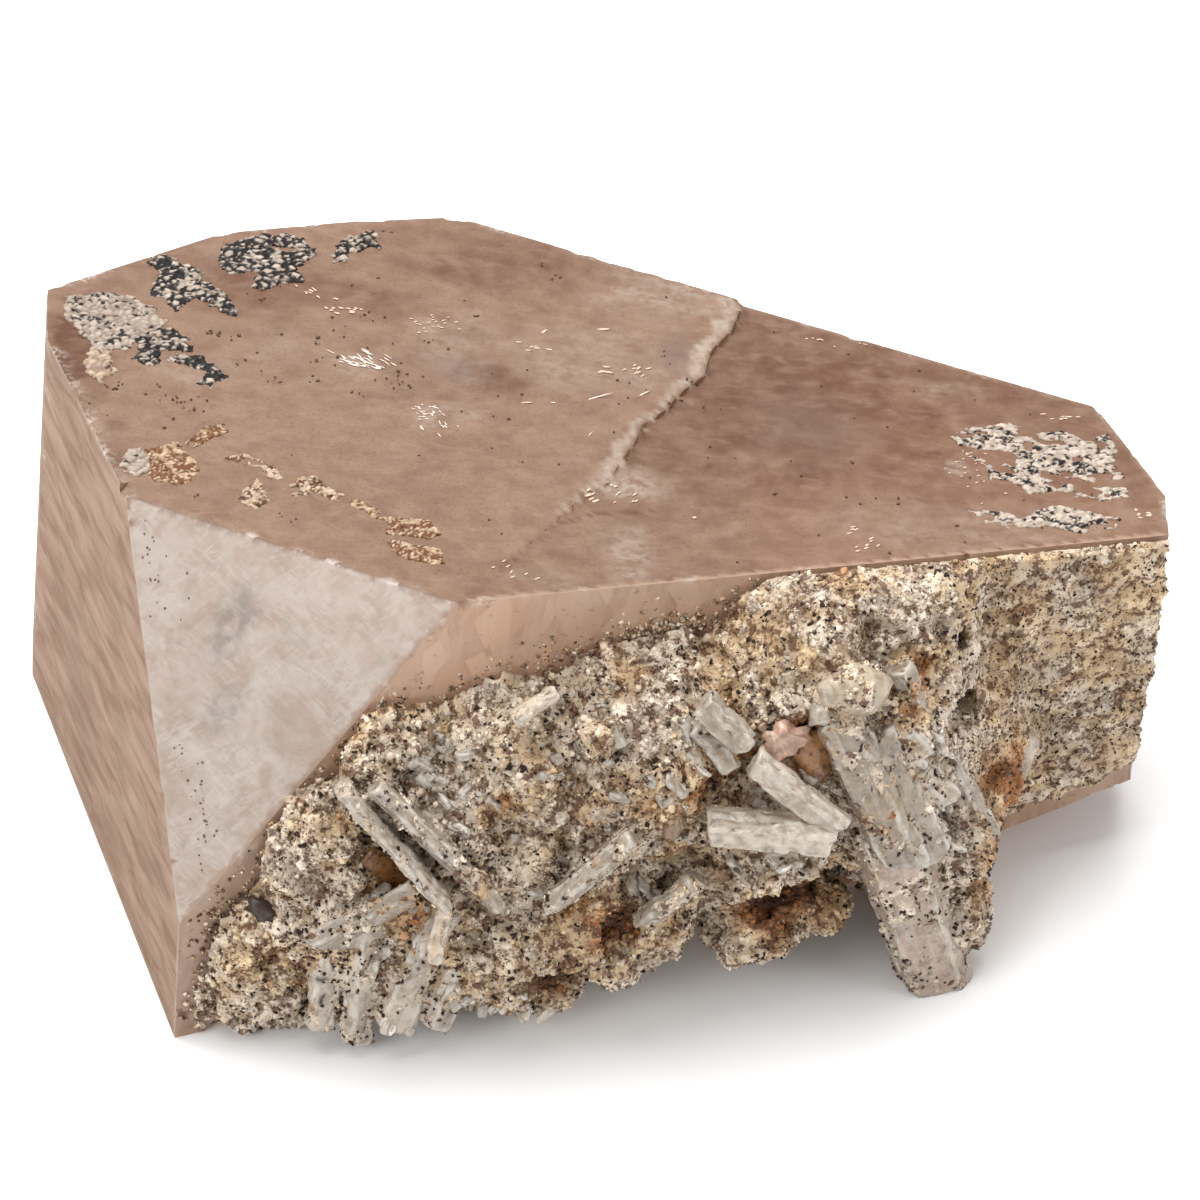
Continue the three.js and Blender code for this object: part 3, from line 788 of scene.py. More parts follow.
# all in mm
albite = {
    "voxel": 0.25,
    "gap": 0.2,            # kept between the albite and the topaz
    "coarseLump": 0.32,
    "fineLump": 0.34,
    "hollow": 0.7,         # how much deeper a hollow's floor is
    "coatFrom": (40.5, 43.5),              # along the wall, where the thin coat takes over
    "coatGrain": 0.35,                     # how much smaller its grains are
    "grainsFrom": (0.45, 0.12),            # lowest spot for a grain, out of the wall and up
    "windowRim": 0.1,                      # bare width around an amber place
    "grains": {
        # kind: form, how many, half-size from and to in mm, how far sunk
        "coarse": ("nugget", 3600, 0.12, 0.36, 0.45),
        "medium": ("block", 9600, 0.08, 0.18, 0.25),
        "fine": ("block", 11500, 0.05, 0.11, 0.0),
        "specks": ("block", 7000, 0.04, 0.09, -0.5),
    },
}


def sugarLumps(points):
    # the lumps and pits of the sugar, from -1 to 1
    return 0.75 * lumpyNoise(points, 0.75, 32) + 0.25 * lumpyNoise(points, 0.5, 33)


def coatShare(place):
    return smoothStep(place[:, 0], *albite["coatFrom"])


def albiteBase():
    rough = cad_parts["albite_matrix"].data.copy()
    mesh = recut(rough, weld=0.001, mode="VOXEL", voxel_size=albite["voxel"] * mm)
    points = readPoints(mesh)
    normals = readRows(mesh.vertices, "normal")
    place = onWall(points)
    lumps = albite["coarseLump"] * cloudNoise(points, 1.7, 31)
    lumps = lumps + albite["fineLump"] * sugarLumps(points)
    lumps -= albite["hollow"] * placesShare(place, darkZones)
    free = smoothStep(place[:, 2], 0.35, 0.7) * smoothStep(points[:, 2], 0.02, 0.4)
    free *= bladeCover(points, 0.3)
    points += normals * (lumps * free)[:, None]
    writePoints(mesh, keptInPlace(points))
    return mesh


def keptInPlace(points):
    # nothing goes below the floor or into the topaz
    place = onWall(points)
    place[:, 2] = np.maximum(place[:, 2], albite["gap"])
    points = offWall(place)
    points[:, 2] = np.maximum(points[:, 2], 0)
    return points


def surfaceSpots(mesh, count, random):
    # random spots spread evenly over a mesh, with their normals
    points = readPoints(mesh)
    mesh.calc_loop_triangles()
    a, b, c = (points[row] for row in readRows(mesh.loop_triangles, "vertices", np.int32).T)
    cross = np.cross(b - a, c - a)
    area = np.linalg.norm(cross, axis=1)
    normal = cross / np.maximum(area, 1e-9)[:, None]
    middle = (a + b + c) / 3
    out, up = albite["grainsFrom"]
    weight = area * ((onWall(middle)[:, 2] > out) & (middle[:, 2] > up))
    pick = random.choice(len(area), count, p=weight / weight.sum())
    u, v = random.random((2, count))
    flip = u + v > 1
    u, v = np.where(flip, 1 - u, u), np.where(flip, 1 - v, v)
    spots = a[pick] + u[:, None] * (b - a)[pick] + v[:, None] * (c - a)[pick]
    return spots, normal[pick]


def unitGrain(maker, power, **sizes):
    # the corners and triangles that a kind of grain starts from, squarer at a lower power
    ball = bmesh.new()
    maker(ball, **sizes)
    bmesh.ops.triangulate(ball, faces=ball.faces)
    corners, faces = bodyRows(ball)
    corners = corners / np.abs(corners).max()
    return np.sign(corners) * np.abs(corners) ** power, faces


grainForms = {
    "nugget": unitGrain(bmesh.ops.create_icosphere, 0.6, subdivisions=1, radius=1),
    "block": unitGrain(bmesh.ops.create_cube, 1, size=2),
}
grainJitter = 0.12


def randomTurns(count, random):
    # evenly spread random turns, one 3 by 3 matrix each
    w, x, y, z = random.normal(size=(4, count))
    length = np.sqrt(w * w + x * x + y * y + z * z)
    w, x, y, z = (part / length for part in (w, x, y, z))
    return np.stack((
        1 - 2 * (y * y + z * z), 2 * (x * y - w * z), 2 * (x * z + w * y),
        2 * (x * y + w * z), 1 - 2 * (x * x + z * z), 2 * (y * z - w * x),
        2 * (x * z - w * y), 2 * (y * z + w * x), 1 - 2 * (x * x + y * y),
    ), axis=1).reshape(count, 3, 3)


def grainCloud(spots, sizes, random, form="nugget", turns=None):
    # every grain is a jittered nugget or block of its own proportions; sizes are half-widths in mm
    corners, faces = grainForms[form]
    count, each = len(spots), len(corners)
    shape = corners[None] * (1 + grainJitter * random.normal(size=(count, each, 3)))
    shape = shape * sizes[:, None, :]
    if turns is None:
        turns = randomTurns(count, random)
    shape = np.einsum("nij,nkj->nki", turns, shape)
    points = (shape + spots[:, None, :]).reshape(-1, 3)
    return points, (faces[None] + each * np.arange(count)[:, None, None]).reshape(-1, 3)


# Platy blades: ends of the long axis on the wall, width, thickness, turn out of the wall
# in degrees, look, and how much sugar has grown over them.
blades = (
    ((8.1, 19.2, 2.2), (13.0, 11.7, 5.2), 4.2, 0.9, 82, "white", 0.1),
    ((9.7, 19.5, 2.6), (15.5, 11.5, 5.4), 4.2, 0.9, 82, "grey", 0.25),
    ((17.2, 22.0, 3.4), (19.8, 23.1, 3.1), 1.8, 0.8, 50, "cream", 0.3),
    ((18.5, 11.0, 6.4), (23.0, 15.8, 7.2), 3.2, 1.0, 52, "green", 0.3),
    ((23.4, 8.6, 6.8), (26.3, 11.5, 7.5), 2.9, 1.0, 40, "green", 0.35),
    ((7.9, 11.0, 2.6), (6.5, 1.6, 3.1), 1.7, 0.9, 8, "white", 0.1),
    ((9.7, 11.6, 3.2), (8.3, 0.6, 3.8), 1.8, 1.0, -12, "white", 0.1),
    ((13.1, 9.8, 4.0), (10.1, 1.9, 4.5), 2.3, 1.2, 14, "white", 0.1),
    ((14.7, 7.0, 4.4), (12.2, 1.9, 5.2), 1.9, 0.9, -18, "white", 0.15),
    ((6.6, 7.8, 3.0), (12.4, 11.6, 4.4), 4.2, 0.8, 12, "grey", 0.2),
    ((13.1, 11.6, 5.0), (12.1, 8.2, 6.1), 0.9, 0.8, 30, "rod", 0.0),
    ((34.0, 20.2, 5.6), (37.3, 10.6, 8.8), 2.7, 2.2, 10, "green", 0.4),
    ((36.2, 18.4, 6.0), (39.1, 10.0, 8.4), 2.2, 1.9, -15, "grey", 0.5),
    ((29.4, 18.4, 6.4), (33.5, 14.5, 9.1), 1.5, 1.3, 15, "white", 0.06),
    ((26.7, 14.8, 7.0), (33.2, 14.0, 9.1), 1.9, 1.6, 0, "white", 0.06),
    ((27.0, 22.3, 5.2), (28.9, 19.8, 6.8), 1.5, 1.3, 25, "grey", 0.15),
    ((26.6, 20.6, 5.0), (28.3, 18.0, 6.4), 1.3, 1.1, -10, "grey", 0.15),
    ((36.4, 13.2, 7.0), (39.9, -0.6, 7.9), 3.9, 3.0, 5, "pink", 0.12),
    ((37.7, 21.2, 4.2), (42.8, 8.4, 6.0), 3.0, 1.2, 74, "green", 0.35),
    ((38.0, 15.5, 6.4), (40.1, 13.2, 7.6), 1.4, 1.1, 0, "white", 0.0),
)

# how pale, how cream or rusty, how pink
bladeLooks = {
    "white": (0.76, 0.14, 0.06), "grey": (0.46, 0.24, 0.03), "green": (0.42, 0.36, 0.0),
    "cream": (0.8, 0.5, 0.0), "rod": (0.95, 0.42, 0.2), "pink": (0.62, 0.26, 0.3),
}

bladeSection = ((-0.5, -0.12), (-0.3, -0.5), (0.34, -0.5), (0.5, 0.1), (0.3, 0.5), (-0.36, 0.5))
bladeShape = {
    "proud": 0.08,         # mm past the solid under it
    "edge": 0.13, "longestSide": 0.36, "rough": 0.17, "striation": 0.012, "chip": 0.3,
}

# Small blades growing between: middle, reach, how many, which way they run, look.
sprays = (
    ((38.2, 13.4), (2.8, 4.6), 26, (0.35, -0.9), "white"),
    ((10.4, 5.0), (3.4, 3.8), 18, (-0.2, -0.95), "white"),
    ((16.4, 3.8), (2.6, 2.4), 12, (-0.6, -0.7), "white"),
    ((30.2, 12.6), (2.8, 1.6), 8, (0.9, -0.3), "white"),
    ((13.4, 17.6), (3.0, 2.6), 14, (0.7, -0.7), "grey"),
    ((24.0, 16.0), (12.0, 6.0), 40, (0.6, -0.5), "grey"),
)
# mm, but width is a share of the length, and turn is in degrees
sprayShape = {
    "length": (0.7, 1.9), "width": (0.25, 0.45), "stray": 0.25, "rooted": 0.1, "lift": (0, 0.4),
    "turn": (-60, 60),
}


def bladeAxes(start, end, turn):
    along = np.subtract(end, start)
    length = np.linalg.norm(along)
    along = along / length
    across = unit(np.cross(along, (0, 0, 1)))
    angle = math.radians(turn)
    across = across * math.cos(angle) + np.cross(along, across) * math.sin(angle)
    return length, np.stack((along, across, np.cross(along, across)))


def bladeCover(points, margin):
    # how much sugar grows at a point: 1 away from the blades
    place = onWall(points)
    cover = np.ones(len(place))
    patches = 0.7 * smoothStep(cloudNoise(points, 1.6, 71), 0.05, 0.5)
    for start, end, width, thickness, turn, _, share in blades:
        length, axes = bladeAxes(start, end, turn)
        local = (place - start) @ axes.T
        inside = (
            (local[:, 0] > 0) & (local[:, 0] < length)
            & (np.abs(local[:, 1]) < width / 2 + margin)
            & (np.abs(local[:, 2]) < thickness / 2 + margin)
        )
        cover[inside] = share + patches[inside]
    return cover


def bladeCorners(start, axes, length, width, thickness):
    # the twelve corners of a six-sided plate with slanted ends
    proud = bladeShape["proud"]
    slant = min(0.25 * width, 0.2 * length)
    corners = []
    for across, through in bladeSection:
        for tip in (-1, 1):
            reach = length * (tip > 0) + tip * (proud - slant * (across + 0.5))
            corners.append(np.array(start) + np.array((
                reach, across * (width + 2 * proud), through * (thickness + 2 * proud),
            )) @ axes)
    return corners


def segmentDistance(points, a, b):
    along = b - a
    share = np.clip((points - a) @ along / (along @ along), 0, 1)
    return np.linalg.norm(points - a - share[:, None] * along, axis=1)


def flatBody(corners, edge, longestSide):
    # a closed flat-faced body around some corners, with worn edges, cut fine
    body = bmesh.new()
    for corner in corners:
        body.verts.new(corner)
    bmesh.ops.convex_hull(body, input=body.verts)
    loose = [v for v in body.verts if not v.link_faces]
    bmesh.ops.delete(body, geom=loose, context="VERTS")
    bmesh.ops.dissolve_limit(body, angle_limit=0.02, verts=body.verts, edges=body.edges)
    rims = [tuple(np.array(v.co) for v in e.verts) for e in body.edges]
    bmesh.ops.bevel(
        body, geom=body.edges[:], offset=edge, segments=1, affect="EDGES", clamp_overlap=True,
    )
    bmesh.ops.triangulate(body, faces=body.faces[:])
    for _ in range(5):
        tooLong = [e for e in body.edges if e.calc_length() > longestSide]
        if tooLong:
            bmesh.ops.subdivide_edges(body, edges=tooLong, cuts=1)
            bmesh.ops.triangulate(body, faces=body.faces[:])
    body.normal_update()
    normals = np.array([v.normal for v in body.verts])
    points, faces = bodyRows(body)
    near = np.min([segmentDistance(points, a, b) for a, b in rims], axis=0)
    return points, faces, normals, near


def bladePart(blade, seed):
    start, end, width, thickness, turn, look, _ = blade
    length, axes = bladeAxes(start, end, turn)
    corners = offWall(bladeCorners(start, axes, length, width, thickness))
    points, faces, normals, near = flatBody(corners, bladeShape["edge"], bladeShape["longestSide"])
    local = (onWall(points) - start) @ axes.T
    lines = lumpyNoise(local / (3.5, 0.3, 0.3), 1, seed)
    relief = bladeShape["striation"] * lines + bladeShape["rough"] * cloudNoise(points, 1.1, seed)
    chips = smoothStep(cloudNoise(points, 0.7, seed + 1), -0.1, 0.5)
    relief -= bladeShape["chip"] * (1 - smoothStep(near, 0.1, 0.5)) * chips
    points = points + normals * relief[:, None]
    tone, stain, pink = bladeLooks[look]
    stain = stain + 0.25 * cloudNoise(points, 1.3, 75) ** 2 + 0.3 * (stainAt(points) - 0.5)
    dark = cloudNoise(points, 0.35, 74) + 0.16 * placesShare(onWall(points), speckZones)
    # rim is pale along the worn edges, partly a painted edge highlight
    return points, faces, {
        "tone": np.clip(tone + 0.14 * cloudNoise(points, 1.8, 73), 0, 1),
        "stain": np.clip(stain, 0, 1), "dark": smoothStep(dark, 0.7, 0.76),
        "pink": pink, "rim": 1 - smoothStep(near, 0.04, 0.26),
        "along": local[:, 0], "across": local[:, 1] + 0.6 * local[:, 2] + seed,
    }


def sprayBlades(base, random):
    # small blades rooted on the mass, each near its spray's direction
    spots, normals = surfaceSpots(base, 9000, random)
    place, out = onWall(spots), normals @ wallAxes.T
    made = []
    for (s, up), (reachS, reachUp), count, (runS, runUp), look in sprays:
        away = np.hypot((place[:, 0] - s) / reachS, (place[:, 1] - up) / reachUp)
        bare = (away < 1) & (bladeCover(spots, 0.1) > 0.5) & (out[:, 2] > 0.2)
        chosen = random.choice(np.flatnonzero(bare), count, replace=False)
        for spot, facing in zip(place[chosen], out[chosen]):
            length = random.uniform(*sprayShape["length"])
            run = np.array((runS, runUp, 0)) + random.normal(0, sprayShape["stray"], 3)
            run = unit(run)
            start = spot - facing * sprayShape["rooted"] - run * length / 2
            end = start + run * length + facing * random.uniform(*sprayShape["lift"])
            width = length * random.uniform(*sprayShape["width"])
            turn = random.uniform(*sprayShape["turn"])
            made.append((start, end, width, 0.5 * width, turn, look, 0.0))
    return made


def roundBody(centre, radii, turn, cuts, rough, seed):
    # a rounded crystal: an ellipsoid with some flat cuts, roughened
    random = np.random.default_rng(seed)
    ball = bmesh.new()
    bmesh.ops.create_icosphere(ball, subdivisions=3, radius=1)
    points, faces = bodyRows(ball)
    for _ in range(cuts):
        facing = unit(random.normal(size=3))
        over = np.maximum(points @ facing - random.uniform(0.62, 0.84), 0)
        points = points - over[:, None] * facing
    points = points * (1 + rough * cloudNoise(points, 0.4, seed)[:, None])
    angle = math.radians(turn)
    spin = np.array((
        (math.cos(angle), math.sin(angle), 0), (-math.sin(angle), math.cos(angle), 0), (0, 0, 1),
    ))
    return offWall((points * radii) @ spin + centre), faces


# Crystals of their own kind: middle on the wall, half-sizes, turn, how many flat cuts,
# roughness, and how pale, how cream and how pink.
oddCrystals = {
    "cap": ((35.1, 21.2, 5.9), (2.0, 1.5, 1.2), -10, 3, 0.26, (0.78, 0.5, 0.05)),
    "capSide": ((33.4, 20.3, 5.8), (1.1, 1.0, 0.8), 10, 5, 0.3, (0.9, 0.1, 0.0)),
    "pinkOne": ((31.1, 18.9, 6.0), (1.2, 1.05, 0.8), 20, 9, 0.9, (0.86, 0.2, 1.0)),
    "brownHexagon": ((24.7, 15.4, 7.1), (0.62, 0.75, 0.6), 0, 6, 0.2, (0.2, 0.75, 0.2)),
    "garnet": ((4.4, 9.4, 1.1), (1.0, 1.1, 0.9), 20, 14, 0.7, (0.0, 0.7, 0.0)),
    "roundWhite": ((46.4, 9.2, 1.7), (1.15, 1.9, 0.9), 0, 2, 0.26, (0.85, 0.3, 0.2)),
    "whiteBead": ((24.6, 16.9, 6.6), (0.5, 0.5, 0.5), 0, 3, 0.3, (0.9, 0.1, 0.0)),
}

windowShape = {"cuts": 7, "rough": 0.4}
# clear amber places in the sugar: middle on the wall, half-sizes, turn
windows = {
    "leftWindow": ((10.6, 10.9, 2.3), (1.9, 2.8, 0.6), 25),
    "rightWindow": ((41.9, 20.7, 1.0), (0.95, 1.6, 0.6), 0),
    "pocketFloor": ((32.9, 17.0, 6.0), (1.2, 1.9, 0.8), 20),
    "forkFloor": ((31.2, 15.8, 6.8), (0.9, 0.5, 0.5), -20),
}

# Places on the wall: middle, reach along and up in mm, strength.
# Cream to rusty stains in the sugar:
stains = (
    ((32.5, 18.6), (1.5, 2.0), 1.5),
    ((28.6, 17.0), (1.6, 1.2), 1.1),
    ((25.0, 12.4), (1.4, 1.0), 0.9),
    ((16.2, 16.6), (1.6, 1.4), 0.7),
    ((36.6, 14.8), (1.6, 1.6), 1.0),
    ((31.0, 7.2), (3.4, 2.4), 0.9),
    ((39.6, 19.6), (2.4, 2.2), 0.7),
    ((28.0, 17.6), (5.0, 3.2), 0.5),
    ((6.0, 6.0), (3.0, 4.0), 0.45),
    ((11.0, 11.0), (2.0, 3.0), 0.6),
    ((44.0, 9.0), (3.0, 6.0), 0.6),
    ((21.0, 8.5), (2.6, 2.4), 0.4),
)

# where black specks gather
speckZones = (
    ((9.0, 6.0), (6.5, 6.5), 1.0),
    ((46.0, 14.0), (6.0, 9.0), 0.6),
    ((42.4, 5.0), (1.6, 5.0), 0.7),
)

# hollows and pockets, darker inside: brown stain and painted shade
darkZones = (
    ((31.2, 7.3), (3.0, 1.7), 1.0),
    ((22.3, 8.0), (1.4, 1.6), 0.8),
    ((18.6, 4.6), (2.3, 1.5), 0.8),
    ((27.6, 19.0), (1.1, 1.4), 0.6),
    ((42.2, 16.4), (0.9, 1.1), 0.5),
)

# clean white sugar
paleZones = (
    ((12.4, 16.6), (3.4, 3.2), 0.8),
    ((22.0, 13.0), (3.4, 2.4), 0.4),
    ((33.0, 12.0), (3.6, 2.2), 0.8),
    ((38.6, 8.0), (3.0, 7.0), 0.9),
    ((40.5, 18.5), (2.0, 2.0), 0.5),
    ((10.0, 4.5), (3.0, 3.0), 0.8),
)


def stainAt(points):
    place = onWall(points)
    stain = 0.26 + 0.4 * cloudNoise(points, 3.2, 41) + 0.28 * cloudNoise(points, 1.0, 42)
    stain += 0.08 * coatShare(place) - 0.22 * sugarLumps(points)
    stain += 0.7 * placesShare(place, stains) - 0.6 * placesShare(place, paleZones)
    stain += 0.5 * placesShare(place, darkZones)
    return np.clip(stain, 0, 1)


def overWindow(points):
    # grains keep off the clear amber places
    place = onWall(points)
    over = np.zeros(len(place), bool)
    for centre, radii, _ in windows.values():
        reach = np.add(radii, albite["windowRim"])
        over |= np.linalg.norm((place - centre) / reach, axis=1) < 1.1
    return over


def grainParts(kinds, base, seed):
    random = np.random.default_rng(seed)
    parts = []
    for kind in kinds:
        form, count, small, large, sunk = albite["grains"][kind]
        spots, normals = surfaceSpots(base, count, random)
        half = small + (large - small) * random.random(count) ** 1.8
        place = onWall(spots)
        half *= 1 - albite["coatGrain"] * coatShare(place)
        shape = half[:, None] * random.uniform((0.9, 0.7, 0.5), (1.6, 1.1, 0.9), (count, 3))
        keep = random.random(count) < bladeCover(spots, 0.12)
        if kind == "specks":
            shape[:, 0] *= random.uniform(0.8, 1.9, count)
            dense = cloudNoise(spots, 2.2, 47) + 0.4 * coatShare(place)
            dense = dense + 0.4 * placesShare(place, speckZones)
            keep = dense + random.normal(0, 0.25, count) > 0.0
        keep &= ~overWindow(spots) | (random.random(count) < 0.2)
        spots, normals, shape, half = (v[keep] for v in (spots, normals, shape, half))
        spots = spots - normals * (sunk * half)[:, None]
        points, faces = grainCloud(spots, shape, random, form)
        each = len(points) // len(spots)
        stain = np.clip(stainAt(spots) + 0.12 * random.normal(size=len(spots)), 0, 1)
        tone = np.clip(toneAt(spots) + 0.18 * random.normal(size=len(spots)), 0, 1)
        parts.append((keptInPlace(points), faces, {
            "tone": np.repeat(tone, each), "stain": np.repeat(stain, each),
            "dark": float(kind == "specks"),
        }))
    return parts


# Grains scattered on the bare wall: middle, reach, how many, dark share, paleness, size.
strays = (
    ((1.6, 8.0), (1.6, 6.0), 110, 0.6, 0.5, 1.0),
    ((1.0, 2.2), (0.7, 1.6), 110, 0.1, 1.0, 1.6),
    ((26.4, 22.6), (3.2, 1.2), 300, 0.12, 0.7, 1.2),
    ((21.0, 22.6), (3.0, 1.2), 60, 0.3, 0.5, 1.0),
    ((9.0, 18.6), (2.4, 1.6), 60, 0.4, 0.5, 1.0),
)

# Grains around the mass: how many tries over the wall, share close to it, mm in which the
# share falls off, dark share, size.
fringe = {"tries": 30000, "share": 0.6, "fade": 0.35, "dark": 0.13, "size": 1.1}


def massTree(base, random):
    # finds how far a place on the wall is from the mass
    tree = kdtree.KDTree(20000)
    place = onWall(readPoints(base))
    for number, (s, up, _) in enumerate(place[random.choice(len(place), 20000)]):
        tree.insert((s, up, 0), number)
    tree.balance()
    return tree


def strayParts(base, random):
    # most lie close to the mass, fewer further off
    tree = massTree(base, random)
    spots, dark, tone, size = [], [], [], []
    for middle, reach, count, darkShare, paleness, scale in strays:
        s, up = (m + r * random.normal(0, 0.6, count) for m, r in zip(middle, reach))
        spots.append(np.stack((s, up), axis=1))
        dark.append(random.random(count) < darkShare)
        tone.append(np.clip(paleness + 0.25 * random.normal(size=count), 0, 1))
        size.append(np.full(count, scale))
    around = random.uniform((0, 0), (33, 26), (fringe["tries"], 2))
    near = np.array([tree.find((s, up, 0))[2] for s, up in around])
    share = fringe["share"] * np.exp(-near / fringe["fade"])
    around = around[(near > 0.1) & (random.random(len(near)) < share)]
    spots.append(around)
    dark.append(random.random(len(around)) < fringe["dark"])
    tone.append(random.uniform(0.45, 1.0, len(around)))
    size.append(np.full(len(around), fringe["size"]))
    spots, dark, tone, size = (np.concatenate(v) for v in (spots, dark, tone, size))
    flat = offWall(np.column_stack((spots, np.full(len(spots), 0.02))))
    others = [name for name in planes if name != "wall"]
    inside = (flat[:, 2] > 0.1) & (fromFaces(flat, others) > 0.1)
    flat, dark, tone, size = flat[inside], dark[inside], tone[inside], size[inside]
    half = size * random.uniform(0.03, 0.09, len(flat))
    shape = half[:, None] * random.uniform(0.6, 1.3, (len(flat), 3))
    points, faces = grainCloud(flat, shape, random, "block")
    return [(points, faces, {
        "tone": np.repeat(tone, 8), "stain": np.repeat(np.clip(1.1 - 0.9 * tone, 0, 1), 8),
        "dark": np.repeat(dark * random.uniform(0.3, 0.8, len(flat)), 8),
    })]


# 0 to 255, each from dark to pale
sugarColours = {
    "clean": ((104, 86, 68), (234, 218, 198)), "cream": ((118, 88, 58), (228, 202, 164)),
    "rust": ((84, 48, 24), (188, 128, 78)),
}


def shades(bench, tone, pairs):
    # each named pair of colours mixed by the tone
    return {name: bench.mix(tone, colour(*a), colour(*b)) for name, (a, b) in pairs.items()}


def sugarMaterial():
    # grey to white sugar, cream where stained, rusty where stained most, with brown and black pits
    bench = NodeBench("albiteSugar")
    tone, stain, dark = (bench.attribute(n) for n in ("tone", "stain", "dark"))
    kinds = shades(bench, tone, sugarColours)
    sugar = bench.mix(bench.range(stain, 0.2, 0.5), kinds["clean"], kinds["cream"])
    sugar = bench.mix(bench.range(stain, 0.58, 0.9), sugar, kinds["rust"])
    sugar = bench.patches(sugar, colour(92, 62, 41), 0.58, 0.5, 0.57, 0.88, 6, rough=0.68)
    sugar = bench.patches(sugar, colour(46, 30, 22), 0.2, 0.62, 0.68, 0.95, 2)
    sugar = bench.mix(dark, sugar, colour(44, 28, 19))
    bench.shader.inputs["Specular IOR Level"].default_value = 0.3
    roughness = bench.range(bench.noise(0.8, 2), 0.3, 0.7, 0.35, 0.65)
    return bench.finish(sugar, roughness, bench.bump(0.2, 5, 0.07))


bladeColours = {
    "clean": ((110, 92, 72), (248, 234, 216)), "stained": ((134, 104, 72), (240, 220, 186)),
    "pinkish": ((174, 116, 92), (244, 200, 176)),
}


def bladeMaterial():
    # half clear plates, faintly lined along their length, with pale rims (chipped edges and a
    # painted edge highlight) and dark specks
    bench = NodeBench("albiteBlade")
    tone, stain, dark = (bench.attribute(n) for n in ("tone", "stain", "dark"))
    kinds = shades(bench, tone, bladeColours)
    body = bench.mix(bench.range(stain, 0.2, 0.6), kinds["clean"], kinds["stained"])
    body = bench.mix(bench.attribute("pink"), body, kinds["pinkish"])
    cloud = bench.range(bench.noise(0.7, 5, warp=0.5), 0.42, 0.66, 0.0, 0.6)
    body = bench.mix(cloud, body, colour(120, 102, 82))
    lines = bench.combine(
        bench.math("MULTIPLY", bench.attribute("across"), 3.0),
        bench.math("MULTIPLY", bench.attribute("along"), 0.3),
    )
    body = bench.patches(body, colour(250, 246, 240), None, 0.5, 0.68, 0.3, 4, place=lines)
    rim = bench.broken("rim", bench.noise(0.5, 3), 0.35, 0.6, 0.1, 0.85)
    body = bench.mix(rim, body, colour(248, 242, 230))
    body = bench.mix(dark, body, colour(46, 32, 24))
    roughness = bench.math(
        "ADD", bench.range(cloud, 0.0, 0.6, 0.14, 0.4), bench.math("MULTIPLY", dark, 0.2),
    )
    bench.shader.inputs["IOR"].default_value = 1.53
    bench.shader.inputs["Transmission Weight"].default_value = 0.45
    return bench.finish(body, roughness, bench.bump(0.5, 4, 0.06))


def amberMaterial():
    bench = NodeBench("amberWindow")
    tone = bench.mix(
        bench.range(bench.noise(1.1, 4), 0.35, 0.65), colour(158, 98, 52), colour(218, 160, 104),
    )
    tone = bench.patches(tone, colour(66, 40, 26), 0.3, 0.55, 0.64, 0.85, 4)
    bench.shader.inputs["IOR"].default_value = 1.6
    bench.shader.inputs["Transmission Weight"].default_value = 0.5
    roughness = bench.range(bench.noise(0.6, 2), 0.3, 0.7, 0.2, 0.45)
    return bench.finish(tone, roughness, bench.bump(0.4, 4, 0.06))


def toneAt(points):
    # how pale the sugar is at a point; paler on the lumps and darker in the pits and hollows as
    # painted shade
    tone = 0.6 + 0.26 * cloudNoise(points, 2.2, 48) + 0.2 * cloudNoise(points, 0.7, 49)
    return tone + 0.3 * sugarLumps(points) - 0.6 * placesShare(onWall(points), darkZones)


def spreadBaseValues(mesh):
    points = readPoints(mesh)
    dark = 0.25 * smoothStep(cloudNoise(points, 0.6, 52), 0.1, 0.6)
    writeValues(mesh, {
        "tone": np.clip(toneAt(points) - 0.06, 0, 1),
        "stain": np.clip(stainAt(points) + 0.05, 0, 1),
        # darker in the hollows: painted shade
        "dark": dark + 0.45 * placesShare(onWall(points), darkZones),
    })


def oddPart(centre, radii, turn, cuts, rough, look, seed):
    points, faces = roundBody(centre, radii, turn, cuts, rough, seed)
    tone, stain, pink = look
    local = onWall(points) - centre
    return points, faces, {
        "tone": np.clip(tone + 0.15 * cloudNoise(points, 0.9, 81), 0, 1),
        "stain": np.clip(stain + 0.12 * cloudNoise(points, 0.7, 82), 0, 1),
        "dark": np.where(tone > 0, smoothStep(cloudNoise(points, 0.5, 83), 0.7, 0.76), 0.85),
        "pink": pink, "rim": 0.0, "along": local[:, 1], "across": local[:, 0] + seed,
    }


baseMesh = albiteBase()
spreadBaseValues(baseMesh)
sugar = sugarMaterial()
basePiece = placeObject("albiteMass", baseMesh, sugar)
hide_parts("albite_matrix")
print("albite mass has", len(baseMesh.polygons), "faces")
for letter, kinds in zip("ABC", (("coarse", "specks"), ("medium",), ("fine",))):
    parts = grainParts(kinds, baseMesh, 60 + ord(letter))
    if letter == "A":
        parts += strayParts(baseMesh, np.random.default_rng(59))
    grains = joinedMesh("albiteGrains" + letter, parts)
    placeObject(grains.name, grains, sugar)
    print(grains.name, "has", len(grains.polygons), "faces")
allBlades = list(blades) + sprayBlades(baseMesh, np.random.default_rng(67))
bladeParts = [bladePart(blade, number) for number, blade in enumerate(allBlades)]
bladeParts += [oddPart(*crystal, 300 + n) for n, crystal in enumerate(oddCrystals.values())]
for points, _, _ in bladeParts:
    points[:, 2] = np.maximum(points[:, 2], 0)
bladeMesh = joinedMesh("albiteBlades", bladeParts)
placeObject("albiteBlades", bladeMesh, bladeMaterial())
print("albite blades have", len(bladeMesh.polygons), "faces")
windowParts = []
for number, (centre, radii, turn) in enumerate(windows.values()):
    points, faces = roundBody(centre, radii, turn, *windowShape.values(), 400 + number)
    windowParts.append((keptInPlace(points), faces, {}))
windowMesh = joinedMesh("amberWindows", windowParts)
windowMesh.shade_smooth()
placeObject("amberWindows", windowMesh, amberMaterial())
print("amber windows are in place")


